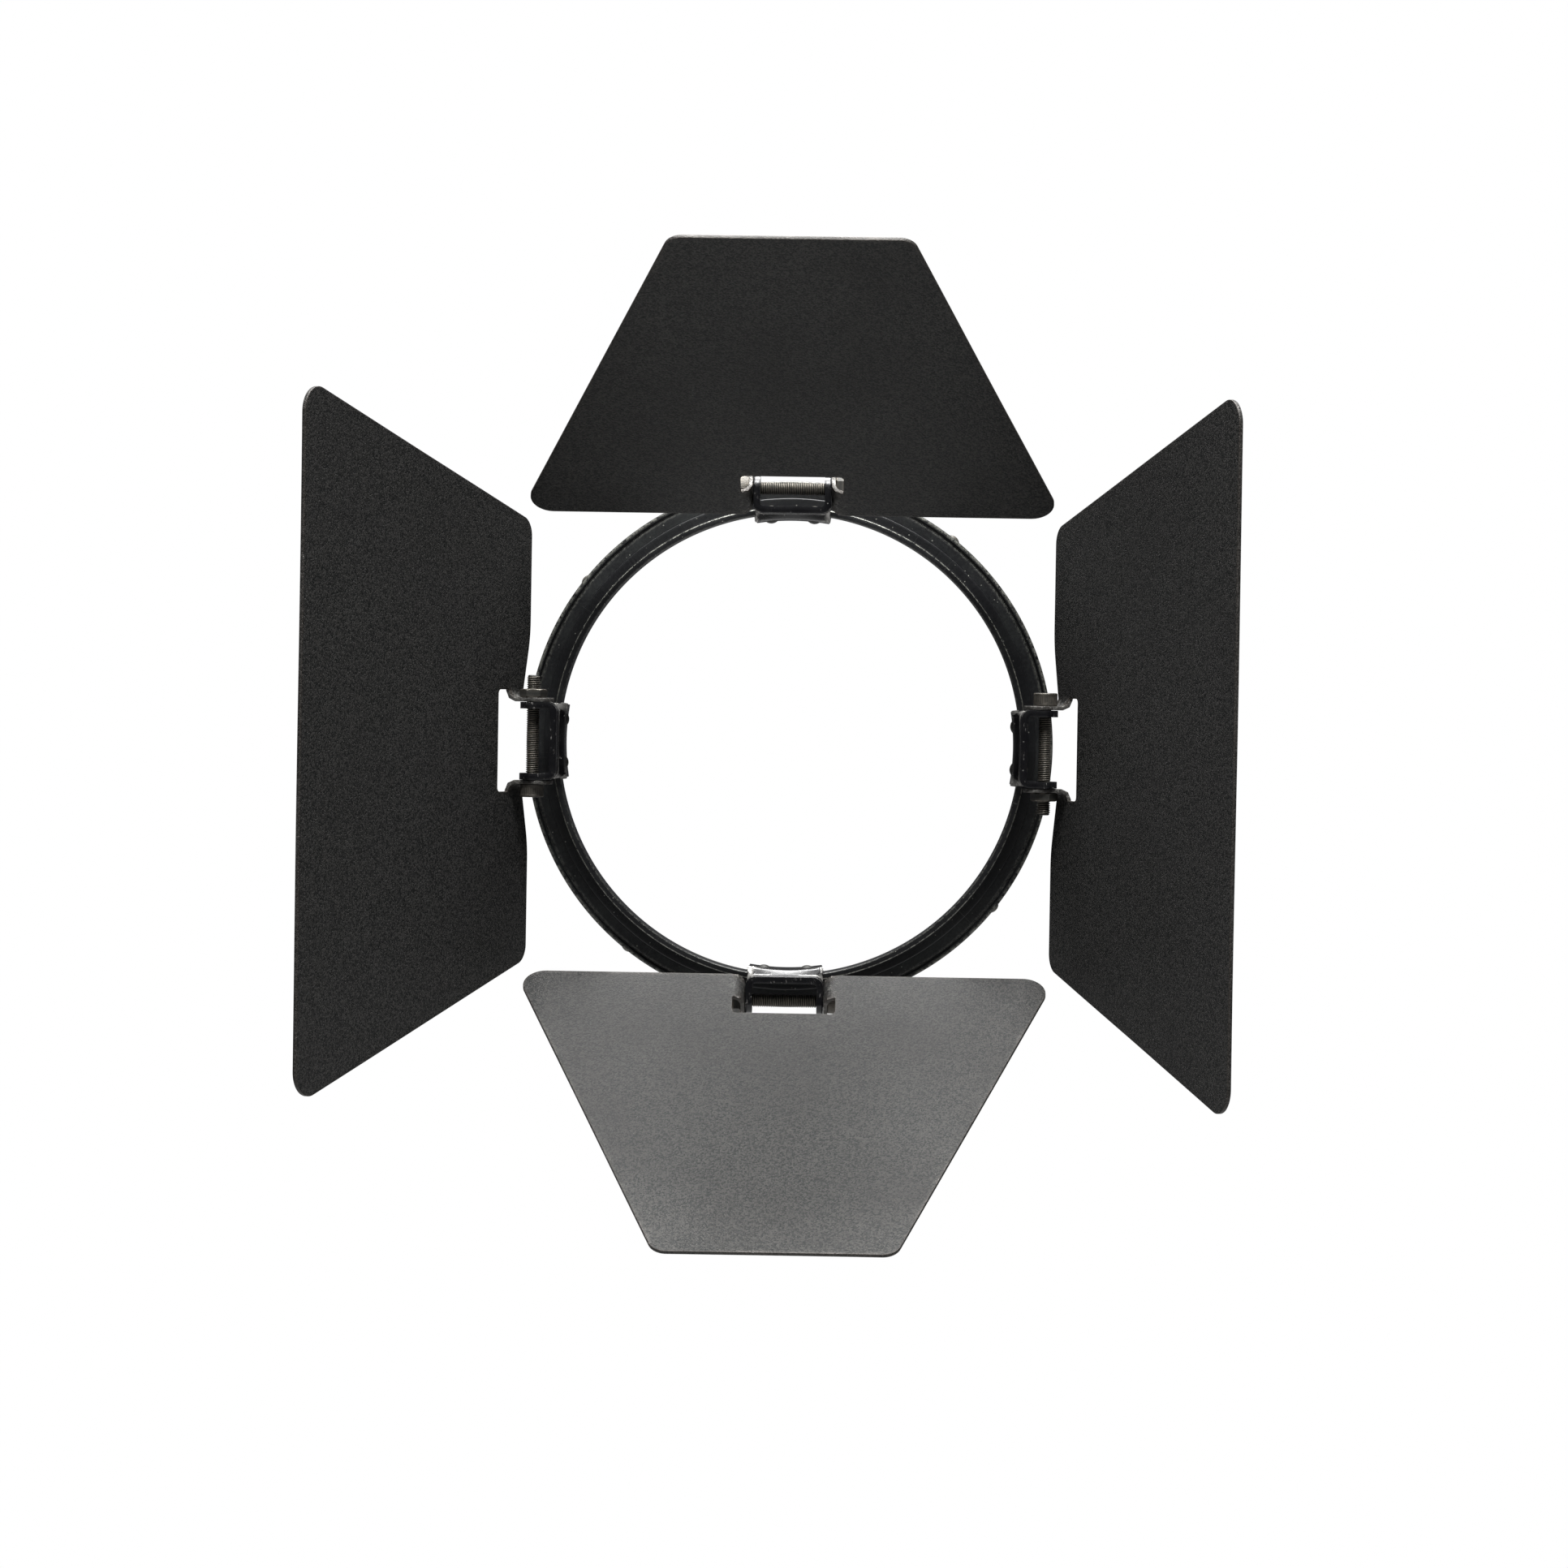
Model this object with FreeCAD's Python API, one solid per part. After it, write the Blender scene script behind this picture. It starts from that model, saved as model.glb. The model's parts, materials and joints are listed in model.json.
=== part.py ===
import FreeCAD, Part
import math
import os

V = FreeCAD.Vector

# ---------------------------------------------------------------------------
# Four-leaf barn door for a small round spotlight.  Millimetres, +Z up.
# The beam leaves along -Y.  The origin is the middle of the bore that
# slides over the lamp's front rim.
# ---------------------------------------------------------------------------

# Mounting ring: a turned band that grips the lamp.
BORE_R = 57.6
BAND_R = 61.0
BAND_BACK_Y = 5.0
BAND_FRONT_Y = -9.0
SEAT_Y = -5.2
SNAP_ROOM_R = 56.9
FLANGE_T = 1.5
FLANGE_BORE_R = 54.83
RIM_BEAD_W = 1.1
RIM_GROOVE_W = 0.5
RIM_GROOVE_DEPTH = 0.2
FACE_DROP = 0.4

# Grip springs in pockets of the bore, each held by one dome-head rivet.
SPRING_COUNT = 4
SPRING_FIRST_DEG = 37.8
SPRING_ARC_DEG = 15.0
SPRING_T = 0.4
SPRING_W = 6.0
SPRING_Y = -0.6
SPRING_FIT = 0.02
POCKET_MARGIN = 0.4
SPRING_OUT_R = BORE_R + SPRING_T
GRIP_RIVET_R = 0.8
GRIP_RIVET_HEAD_R = 1.6
GRIP_RIVET_HEAD_H = 0.8
RIVET_FIT = 0.02

# Carrier ring: it turns in the mounting ring and carries the hinges.
CARRIER_OUT_R = 54.75
CARRIER_IN_R = 53.35
CARRIER_FRONT_Y = -15.0
CARRIER_BACK_Y = -5.6
SHOULDER_R = 57.0
SHOULDER_T = 1.0
SHOULDER_GAP = 0.1
SNAP_T = 1.0
SNAP_IN_R = 54.1
SNAP_OUT_R = 56.7
SNAP_GAP_DEG = 5.0
EDGE_BREAK = 0.35

# Hinges, one at each quarter turn.
HINGE_R = 58.7
HINGE_Y = -23.0
SHEET_BRACKET = 1.5
BRACKET_HALF_W = 8.9
BRACKET_WEB_IN_R = 53.1
BRACKET_EAR_R = 3.9
BRACKET_EAR_REACH = 2.9
BRACKET_BEND_R = 2.2
BRACKET_SHELF = 0.6
BRACKET_SLOPE = 2.2
BRACKET_FRONT_GAP = 0.05
BRACKET_FOOT_BACK_Y = -6.4
BRACKET_FOOT_FRONT_Y = -16.6
BRACKET_STEP = 0.9
PIN_CLEAR = 0.08
FOOT_RIVET_T = 5.0
FOOT_RIVET_Y = -12.6
FOOT_RIVET_R = 0.9
FOOT_RIVET_HEAD_R = 1.5
FOOT_RIVET_HEAD_H = 0.6
HEAD_SEAT = 0.05
FOOT_FIT = 0.02

# Hinge screw M3 x 25 with its nut.
SCREW_R = 1.5
SCREW_LEN = 25.0
HEAD_R = 2.75
HEAD_H = 3.0
SOCKET_AF = 2.5
SOCKET_DEPTH = 1.5
NUT_AF = 5.5
NUT_H = 2.0
NUT_CHAMFER = 0.25

# Leaves, folded from one sheet.
SHEET = 0.9
LEAF_OFFSET = 5.05
EAR_GAP = 0.1
EAR_BEND_R = 1.7
EAR_TIP_E = 4.9
NOTCH_HALF = 11.7
NOTCH_CORNER_R = 1.0
HINGE_CLEAR_T = 24.0

TAPERED = {
    "base_half": 62.0, "tip_half": 26.2, "base_v": -2.8, "tip_v": 94.0,
    "relief_v": -2.8, "notch_v": 11.4, "ear_v": 5.5, "base_r": 5.2, "tip_r": 4.2, "side": 1,
}
FLARED = {
    "base_half": 50.5, "tip_half": 78.5, "base_v": -6.3, "tip_v": 91.4,
    "relief_v": -3.4, "notch_v": 7.75, "ear_v": 3.1, "base_r": 4.6, "tip_r": 5.6, "side": -1,
}

# name, turn about +Y from the top, leaf shape, forward tilt at rest
HINGES = [
    ("top", 0.0, TAPERED, 54.0),
    ("right", 90.0, FLARED, 68.5),
    ("bottom", 180.0, TAPERED, 55.0),
    ("left", 270.0, FLARED, 63.5),
]

Y_AXIS = V(0, 1, 0)
X_AXIS = V(1, 0, 0)
ORIGIN = V(0, 0, 0)


def save(shape, name):
    if not shape.isValid():
        raise ValueError(name + " is not valid")
    shape.exportStep("parts/" + name + ".step")
    print("%-22s %10.2f mm3  solids %d" % (name, shape.Volume, len(shape.Solids)))


def turned(points):
    """Solid of revolution about the Y axis from (radius, y) points."""
    wire = Part.makePolygon([V(r, y, 0) for r, y in points + points[:1]])
    return Part.Face(wire).revolve(ORIGIN, Y_AXIS, 360)


def arc_block(r_in, r_out, y_a, y_b, middle_deg, arc_deg):
    """Piece of a tube about Y, centred on an angle measured from the top."""
    wire = Part.makePolygon([
        V(0, y_a, r_in), V(0, y_a, r_out), V(0, y_b, r_out), V(0, y_b, r_in), V(0, y_a, r_in),
    ])
    block = Part.Face(wire).revolve(ORIGIN, Y_AXIS, arc_deg)
    block.rotate(ORIGIN, Y_AXIS, middle_deg - arc_deg / 2)
    return block


def around(shape, degrees):
    """Copy of a shape turned about the Y axis."""
    copy = shape.copy()
    copy.rotate(ORIGIN, Y_AXIS, degrees)
    return copy


def dome(radius, height, base, direction):
    """Button head: a ball cap of the given height on a plane."""
    ball_r = (radius * radius + height * height) / (2 * height)
    ball = Part.makeSphere(ball_r, base + direction * (height - ball_r))
    cut = Part.makeCylinder(2 * ball_r, 2 * ball_r, base, direction)
    return ball.common(cut)


def spring_angles():
    return [SPRING_FIRST_DEG + 360.0 * i / SPRING_COUNT for i in range(SPRING_COUNT)]


def rounded_outline(corners):
    """Closed wire through (x, y, radius) corners in the XY plane, each corner an arc."""
    count = len(corners)
    edges = []
    starts = []
    ends = []
    mids = []
    for i in range(count):
        here = V(corners[i][0], corners[i][1], 0)
        radius = corners[i][2]
        before = V(corners[i - 1][0], corners[i - 1][1], 0)
        after = V(corners[(i + 1) % count][0], corners[(i + 1) % count][1], 0)
        to_before = (before - here).normalize()
        to_after = (after - here).normalize()
        half = to_before.getAngle(to_after) / 2
        reach = radius / math.tan(half)
        bisector = (to_before + to_after).normalize()
        centre = here + bisector * (radius / math.sin(half))
        starts.append(here + to_before * reach)
        ends.append(here + to_after * reach)
        mids.append(centre - bisector * radius)
    for i in range(count):
        if corners[i][2] > 0:
            edges.append(Part.Arc(starts[i], mids[i], ends[i]).toShape())
        edges.append(Part.LineSegment(ends[i], starts[(i + 1) % count]).toShape())
    return Part.Wire(edges)


# ---------------------------------------------------------------------------
# Mounting ring and its grip springs
# ---------------------------------------------------------------------------

def mounting_ring():
    """Turned band: flange in front, groove and rolled bead at the outer edge, open bore behind."""
    bead_in = BAND_R - RIM_BEAD_W
    groove_in = bead_in - RIM_GROOVE_W
    face = BAND_FRONT_Y + FACE_DROP
    ring = turned([
        (FLANGE_BORE_R, face),
        (groove_in, face),
        (groove_in, face + RIM_GROOVE_DEPTH),
        (bead_in, face + RIM_GROOVE_DEPTH),
        (bead_in, BAND_FRONT_Y + 0.25),
        (bead_in + 0.25, BAND_FRONT_Y),
        (BAND_R - 0.45, BAND_FRONT_Y),
        (BAND_R, BAND_FRONT_Y + 0.45),
        (BAND_R, BAND_BACK_Y - EDGE_BREAK),
        (BAND_R - EDGE_BREAK, BAND_BACK_Y),
        (BORE_R + EDGE_BREAK, BAND_BACK_Y),
        (BORE_R, BAND_BACK_Y - EDGE_BREAK),
        (BORE_R, SEAT_Y),
        (SNAP_ROOM_R, SEAT_Y),
        (SNAP_ROOM_R, BAND_FRONT_Y + FACE_DROP + FLANGE_T),
        (FLANGE_BORE_R, BAND_FRONT_Y + FACE_DROP + FLANGE_T),
    ])
    pocket_arc = SPRING_ARC_DEG + math.degrees(2 * POCKET_MARGIN / BORE_R)
    for angle in spring_angles():
        y_a = SPRING_Y - SPRING_W / 2 - POCKET_MARGIN
        y_b = SPRING_Y + SPRING_W / 2 + POCKET_MARGIN
        pocket = arc_block(BORE_R - 1, SPRING_OUT_R + SPRING_FIT, y_a, y_b, angle, pocket_arc)
        hole = Part.makeCylinder(GRIP_RIVET_R, 6, V(0, SPRING_Y, BORE_R - 1), V(0, 0, 1))
        ring = ring.cut(pocket).cut(around(hole, angle))
    return ring


def grip_spring(angle):
    """Spring strip as the lamp's rim presses it: flush in its pocket, riveted in the middle."""
    strip = arc_block(BORE_R, SPRING_OUT_R, SPRING_Y - SPRING_W / 2,
                      SPRING_Y + SPRING_W / 2, 0.0, SPRING_ARC_DEG)
    hole = Part.makeCylinder(GRIP_RIVET_R, 6, V(0, SPRING_Y, BORE_R - 1), V(0, 0, 1))
    return around(strip.cut(hole), angle)


def grip_rivets():
    """Dome-head rivets: head outside the band, shank closed flush with the spring."""
    solids = []
    up = V(0, 0, 1)
    for angle in spring_angles():
        head = dome(GRIP_RIVET_HEAD_R, GRIP_RIVET_HEAD_H, V(0, SPRING_Y, BAND_R), up)
        shank = Part.makeCylinder(GRIP_RIVET_R - RIVET_FIT, BAND_R - BORE_R,
                                  V(0, SPRING_Y, BORE_R), up)
        solids.append(around(head.fuse(shank), angle))
    return Part.makeCompound(solids)


# ---------------------------------------------------------------------------
# Carrier ring and its snap ring
# ---------------------------------------------------------------------------

def snap_groove_y():
    """Front face of the snap ring, just behind the mounting ring's flange."""
    return BAND_FRONT_Y + FACE_DROP + FLANGE_T + SHOULDER_GAP


def carrier_ring():
    """Thin collar with a shoulder in front of the flange and a groove behind it."""
    shoulder_back = BAND_FRONT_Y + FACE_DROP - SHOULDER_GAP
    groove = snap_groove_y()
    ring = turned([
        (CARRIER_IN_R, CARRIER_FRONT_Y + EDGE_BREAK),
        (CARRIER_IN_R + EDGE_BREAK, CARRIER_FRONT_Y),
        (CARRIER_OUT_R - EDGE_BREAK, CARRIER_FRONT_Y),
        (CARRIER_OUT_R, CARRIER_FRONT_Y + EDGE_BREAK),
        (CARRIER_OUT_R, shoulder_back - SHOULDER_T),
        (SHOULDER_R - 0.2, shoulder_back - SHOULDER_T),
        (SHOULDER_R, shoulder_back - SHOULDER_T + 0.2),
        (SHOULDER_R, shoulder_back),
        (CARRIER_OUT_R, shoulder_back),
        (CARRIER_OUT_R, groove - 0.02),
        (SNAP_IN_R - 0.02, groove - 0.02),
        (SNAP_IN_R - 0.02, groove + SNAP_T + 0.02),
        (CARRIER_OUT_R, groove + SNAP_T + 0.02),
        (CARRIER_OUT_R, CARRIER_BACK_Y),
        (CARRIER_IN_R, CARRIER_BACK_Y),
    ])
    for _, turn, _, _ in HINGES:
        for side in (-1, 1):
            ring = ring.cut(around(foot_rivet_hole(side), turn))
    return ring


def snap_ring():
    """Open retaining ring that keeps the carrier ring in the flange."""
    groove = snap_groove_y()
    return arc_block(SNAP_IN_R, SNAP_OUT_R, groove, groove + SNAP_T, 222.5, 360 - SNAP_GAP_DEG)


# ---------------------------------------------------------------------------
# Hinge brackets, built at the top hinge and turned into place
# ---------------------------------------------------------------------------

def foot_rivet_direction(side):
    """Radial direction of a foot rivet at the top bracket."""
    angle = math.asin(FOOT_RIVET_T / CARRIER_IN_R)
    return V(side * math.sin(angle), 0, math.cos(angle))


def foot_rivet_hole(side):
    along = foot_rivet_direction(side)
    base = V(0, FOOT_RIVET_Y, 0) + along * (BRACKET_WEB_IN_R - 2)
    return Part.makeCylinder(FOOT_RIVET_R, 8, base, along)


def bracket():
    """U bracket: web in front of the carrier ring, two ears across the hinge line, foot inside the ring."""
    inner = BRACKET_HALF_W - SHEET_BRACKET
    web_top = BRACKET_WEB_IN_R + SHEET_BRACKET
    ear_top = HINGE_R + BRACKET_EAR_REACH
    front = HINGE_Y - BRACKET_EAR_R
    web_back = CARRIER_FRONT_Y - BRACKET_FRONT_GAP
    length = web_back - front

    bend_in = BRACKET_BEND_R - SHEET_BRACKET
    outline = rounded_outline([
        (-BRACKET_HALF_W, BRACKET_WEB_IN_R, BRACKET_BEND_R),
        (BRACKET_HALF_W, BRACKET_WEB_IN_R, BRACKET_BEND_R),
        (BRACKET_HALF_W, ear_top, 0),
        (inner, ear_top, 0),
        (inner, web_top, bend_in),
        (-inner, web_top, bend_in),
        (-inner, ear_top, 0),
        (-BRACKET_HALF_W, ear_top, 0),
    ])
    channel = Part.Face(outline).extrude(V(0, 0, length))
    channel.rotate(ORIGIN, X_AXIS, 90)
    channel.translate(V(0, front + length, 0))

    # Side view: an eye about the screw and a back edge that slopes down to the web.
    eye_back = HINGE_Y + BRACKET_EAR_R
    shelf_z = web_top + BRACKET_SHELF
    below = BRACKET_WEB_IN_R - 1
    slope_y = eye_back + BRACKET_SLOPE
    corners = [
        V(0, eye_back, HINGE_R),
        V(0, slope_y, shelf_z),
        V(0, web_back, shelf_z),
        V(0, web_back, below),
        V(0, front, below),
        V(0, front, HINGE_R),
    ]
    eye = Part.Arc(V(0, front, HINGE_R), V(0, HINGE_Y, ear_top), V(0, eye_back, HINGE_R)).toShape()
    sides = Part.makePolygon(corners)
    mask = Part.Face(Part.Wire([eye] + sides.Edges)).extrude(V(2 * BRACKET_HALF_W, 0, 0))
    mask.translate(V(-BRACKET_HALF_W, 0, 0))
    body = channel.common(mask)

    foot_half = math.degrees(math.asin((BRACKET_HALF_W - 0.4) / CARRIER_IN_R))
    foot = arc_block(CARRIER_IN_R - SHEET_BRACKET, CARRIER_IN_R - FOOT_FIT,
                     BRACKET_FOOT_FRONT_Y, BRACKET_FOOT_BACK_Y, 0.0, 2 * foot_half)
    step = arc_block(CARRIER_IN_R - SHEET_BRACKET, BRACKET_WEB_IN_R + BRACKET_STEP,
                     BRACKET_FOOT_FRONT_Y, web_back, 0.0, 2 * foot_half)
    body = body.fuse([foot, step]).removeSplitter()

    pin = Part.makeCylinder(SCREW_R + PIN_CLEAR, 4 * BRACKET_HALF_W,
                            V(-2 * BRACKET_HALF_W, HINGE_Y, HINGE_R), X_AXIS)
    body = body.cut(pin)
    for side in (-1, 1):
        body = body.cut(foot_rivet_hole(side))
    return body


def foot_rivets():
    """Two rivets hold each bracket foot to the carrier ring."""
    solids = []
    for _, turn, _, _ in HINGES:
        for side in (-1, 1):
            along = foot_rivet_direction(side)
            inside = V(0, FOOT_RIVET_Y, 0) + along * (CARRIER_IN_R - SHEET_BRACKET - HEAD_SEAT)
            outside = V(0, FOOT_RIVET_Y, 0) + along * CARRIER_OUT_R
            shank = Part.makeCylinder(FOOT_RIVET_R - RIVET_FIT, (outside - inside).Length, inside, along)
            head_in = dome(FOOT_RIVET_HEAD_R, FOOT_RIVET_HEAD_H, inside, along * -1)
            head_out = dome(FOOT_RIVET_HEAD_R, FOOT_RIVET_HEAD_H, outside, along)
            solids.append(around(shank.fuse(head_in).fuse(head_out), turn))
    return Part.makeCompound(solids)


# ---------------------------------------------------------------------------
# Leaves: drawn flat in (along the hinge, away from the hinge), then folded
# ---------------------------------------------------------------------------

def leaf_outline(form):
    """Flat outline of a leaf with its notch and, on a flared leaf, the relief beside it."""
    base_v = form["base_v"]
    relief_v = form["relief_v"]
    corners = [
        (form["tip_half"], form["tip_v"], form["tip_r"]),
        (-form["tip_half"], form["tip_v"], form["tip_r"]),
        (-form["base_half"], base_v, form["base_r"]),
    ]
    near = []
    if relief_v > base_v:
        near.append((HINGE_CLEAR_T, base_v, 30.0))
    near.append((NOTCH_HALF, relief_v, 0.0))
    near.append((NOTCH_HALF, form["notch_v"], NOTCH_CORNER_R))
    corners += [(-t, v, r) for t, v, r in near]
    corners += [(t, v, r) for t, v, r in reversed(near)]
    corners.append((form["base_half"], base_v, form["base_r"]))
    return rounded_outline(corners)


def leaf_plate(form):
    plate = Part.Face(leaf_outline(form)).extrude(V(0, 0, SHEET))
    plate.translate(V(0, 0, LEAF_OFFSET - SHEET / 2))
    return plate


def leaf_ear(form):
    """Ear folded down from the plate: a quarter bend, then a flat eye round the screw."""
    ear_in = BRACKET_HALF_W + EAR_GAP
    ear_out = ear_in + SHEET
    lower = LEAF_OFFSET - SHEET / 2
    upper = LEAF_OFFSET + SHEET / 2
    bend_t = ear_out + EAR_BEND_R
    bend_e = lower - EAR_BEND_R
    near = form["relief_v"]
    far = form["ear_v"]

    s = math.sqrt(0.5)
    outer_r = EAR_BEND_R + SHEET
    section = Part.Wire([
        Part.LineSegment(V(NOTCH_HALF + 0.5, 0, upper), V(bend_t, 0, upper)).toShape(),
        Part.Arc(V(bend_t, 0, upper), V(bend_t - outer_r * s, 0, bend_e + outer_r * s),
                 V(ear_in, 0, bend_e)).toShape(),
        Part.LineSegment(V(ear_in, 0, bend_e), V(ear_in, 0, -EAR_TIP_E)).toShape(),
        Part.LineSegment(V(ear_in, 0, -EAR_TIP_E), V(ear_out, 0, -EAR_TIP_E)).toShape(),
        Part.LineSegment(V(ear_out, 0, -EAR_TIP_E), V(ear_out, 0, bend_e)).toShape(),
        Part.Arc(V(ear_out, 0, bend_e), V(bend_t - EAR_BEND_R * s, 0, bend_e + EAR_BEND_R * s),
                 V(bend_t, 0, lower)).toShape(),
        Part.LineSegment(V(bend_t, 0, lower), V(NOTCH_HALF + 0.5, 0, lower)).toShape(),
        Part.LineSegment(V(NOTCH_HALF + 0.5, 0, lower), V(NOTCH_HALF + 0.5, 0, upper)).toShape(),
    ])
    strip = Part.Face(section).extrude(V(0, far - near, 0))
    strip.translate(V(0, near, 0))

    middle = (near + far) / 2
    eye = Part.Wire([
        Part.LineSegment(V(0, near, upper + 1), V(0, near, 0)).toShape(),
        Part.Arc(V(0, near, 0), V(0, middle, -EAR_TIP_E), V(0, far, 0)).toShape(),
        Part.LineSegment(V(0, far, 0), V(0, far, upper + 1)).toShape(),
        Part.LineSegment(V(0, far, upper + 1), V(0, near, upper + 1)).toShape(),
    ])
    mask = Part.Face(eye).extrude(V(NOTCH_HALF + 2, 0, 0))
    return strip.common(mask)


def leaf(form):
    """Leaf in its own frame: X along the hinge, Y away from it, Z towards the plate."""
    ear = leaf_ear(form)
    shape = leaf_plate(form).fuse([ear, ear.mirror(ORIGIN, X_AXIS)]).removeSplitter()
    pin = Part.makeCylinder(SCREW_R + PIN_CLEAR, 4 * NOTCH_HALF, V(-2 * NOTCH_HALF, 0, 0), X_AXIS)
    return shape.cut(pin)


def screw():
    """Socket-head screw along X, head on the -X side."""
    seat = -(BRACKET_HALF_W + EAR_GAP + SHEET)
    head = Part.makeCylinder(HEAD_R, HEAD_H, V(seat - HEAD_H, 0, 0), X_AXIS)
    head = head.makeFillet(0.3, [head.Edges[0], head.Edges[2]])
    shank = Part.makeCylinder(SCREW_R, SCREW_LEN, V(seat, 0, 0), X_AXIS)
    shank = shank.makeChamfer(0.3, [edge for edge in shank.Edges
                                    if abs(edge.BoundBox.XMin - seat - SCREW_LEN) < 1e-6])
    return head.fuse(shank).cut(hexagon(SOCKET_AF, seat - HEAD_H - 0.01, SOCKET_DEPTH))


def hexagon(across_flats, x, height):
    """Six-sided prism along X that starts at x."""
    r = across_flats / math.sqrt(3)
    points = [V(x, r * math.cos(math.radians(60 * i)), r * math.sin(math.radians(60 * i)))
              for i in range(7)]
    return Part.Face(Part.makePolygon(points)).extrude(V(height, 0, 0))


def nut():
    """Hexagon nut on the +X ear, its corners chamfered by a cone at each face."""
    seat = BRACKET_HALF_W + EAR_GAP + SHEET
    body = hexagon(NUT_AF, seat, NUT_H)
    corner_r = NUT_AF / math.sqrt(3)
    barrel = Part.makeCylinder(corner_r, NUT_H, V(seat, 0, 0), X_AXIS)
    barrel = barrel.makeChamfer(NUT_CHAMFER, [barrel.Edges[0], barrel.Edges[2]])
    hole = Part.makeCylinder(SCREW_R, NUT_H + 2, V(seat - 1, 0, 0), X_AXIS)
    return body.common(barrel).cut(hole)


def hang(shape, turn, form, tilt):
    """Place a leaf-frame shape on its hinge: tilt about the screw, then turn about Y."""
    placed = shape.copy()
    if form["side"] < 0:
        placed = placed.mirror(ORIGIN, V(0, 0, 1))
    # the leaf frame's Z (towards the beam) becomes -Y and its Y becomes +Z
    placed.rotate(ORIGIN, X_AXIS, 90)
    placed.rotate(ORIGIN, X_AXIS, tilt)
    placed.translate(V(0, HINGE_Y, HINGE_R))
    placed.rotate(ORIGIN, Y_AXIS, turn)
    return placed


def main():
    os.makedirs("parts", exist_ok=True)
    save(mounting_ring(), "mounting_ring")
    for number, angle in enumerate(spring_angles(), 1):
        save(grip_spring(angle), "grip_spring_%d" % number)
    save(grip_rivets(), "grip_rivets")
    save(carrier_ring(), "carrier_ring")
    save(snap_ring(), "snap_ring")
    save(foot_rivets(), "bracket_rivets")
    for name, turn, form, tilt in HINGES:
        save(around(bracket(), turn), name + "_bracket")
        save(hang(leaf(form), turn, form, tilt), name + "_leaf")
        save(hang(screw(), turn, form, tilt), name + "_hinge_screw")
        save(hang(nut(), turn, form, tilt), name + "_hinge_nut")


main()
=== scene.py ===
# %% [markdown]
# # A four-leaf barn door for a small spotlight
#
# A barn door is a ring that slides over the front of a lamp and carries four
# hinged black leaves. Folding a leaf into the beam cuts one side of the light
# off. Everything here is folded sheet steel, turned rings, screws and rivets,
# so every shape is a short formula: a profile turned about an axis, a sheet
# bent along a line, or a thread wound round a rod.
#
# The mechanical model comes first. It fixes each part's place and the way it
# moves, and this file only gives the parts their finished surfaces.

# %% Load the mechanical model
import json
import math

import bmesh
import bpy
import numpy as np
from mathutils import Matrix, Vector
from mathutils.geometry import delaunay_2d_cdt


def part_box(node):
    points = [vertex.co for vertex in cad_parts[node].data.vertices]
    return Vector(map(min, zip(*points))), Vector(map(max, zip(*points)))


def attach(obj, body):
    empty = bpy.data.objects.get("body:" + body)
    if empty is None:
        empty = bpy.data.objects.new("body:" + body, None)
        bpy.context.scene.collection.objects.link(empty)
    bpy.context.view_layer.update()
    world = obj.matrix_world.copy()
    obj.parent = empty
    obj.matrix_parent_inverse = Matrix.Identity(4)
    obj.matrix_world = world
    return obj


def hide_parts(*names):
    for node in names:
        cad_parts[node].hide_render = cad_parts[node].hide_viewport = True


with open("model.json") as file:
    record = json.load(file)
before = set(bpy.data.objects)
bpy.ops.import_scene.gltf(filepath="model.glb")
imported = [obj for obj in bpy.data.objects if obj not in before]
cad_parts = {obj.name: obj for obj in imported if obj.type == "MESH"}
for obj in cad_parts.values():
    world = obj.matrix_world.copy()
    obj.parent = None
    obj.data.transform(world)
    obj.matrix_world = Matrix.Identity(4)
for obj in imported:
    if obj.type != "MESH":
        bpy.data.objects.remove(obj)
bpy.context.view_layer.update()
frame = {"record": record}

MM = 0.001

# %% [markdown]
# ## From formula to mesh
#
# A surface given by two numbers, such as an angle and a place along a
# profile, can be worked out for a whole grid at once. Neighbouring grid
# points make the four corners of a face. A grid can close on itself in
# either direction: a ring closes in both, a tube in one, a sheet in none.
# Writing this once keeps each part's own cell down to its formula.

# %% Grid to mesh
def grid_faces(rows, cols, close_rows, close_cols):
    """Corner numbers of every face of a rows x cols grid: a point, its right neighbour,
    that one's lower neighbour and the point below the first, wrapping where closed."""
    row = np.arange(rows if close_rows else rows - 1)[:, None]
    col = np.arange(cols if close_cols else cols - 1)[None, :]
    below, right = (row + 1) % rows, (col + 1) % cols
    corners = [row * cols + col, row * cols + right, below * cols + right, below * cols + col]
    return np.stack(corners, axis=-1).reshape(-1, 4)


def joined(grids):
    """Points and faces of several (points, close_rows, close_cols) grids as one mesh's worth."""
    points, faces, start = [], [], 0
    for grid, close_rows, close_cols in grids:
        rows, cols = grid.shape[:2]
        points.append(grid.reshape(-1, 3))
        faces.append(grid_faces(rows, cols, close_rows, close_cols) + start)
        start += rows * cols
    return np.concatenate(points), np.concatenate(faces)


print("a 3 x 4 grid has", len(grid_faces(3, 4, False, False)), "faces as a sheet and",
      len(grid_faces(3, 4, True, True)), "as a ring")


# %% Mesh to object
def new_object(name, points_mm, faces):
    """A mesh object from points in millimetres; doubled points are merged, so poles and
    seams close, and the faces are then turned to point outwards."""
    mesh = bpy.data.meshes.new(name)
    mesh.from_pydata((points_mm * MM).tolist(), [], faces.tolist())
    work = bmesh.new()
    work.from_mesh(mesh)
    bmesh.ops.remove_doubles(work, verts=work.verts, dist=1e-7)
    bmesh.ops.recalc_face_normals(work, faces=work.faces)
    work.to_mesh(mesh)
    work.free()
    piece = bpy.data.objects.new(name, mesh)
    bpy.context.scene.collection.objects.link(piece)
    return piece


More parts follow.
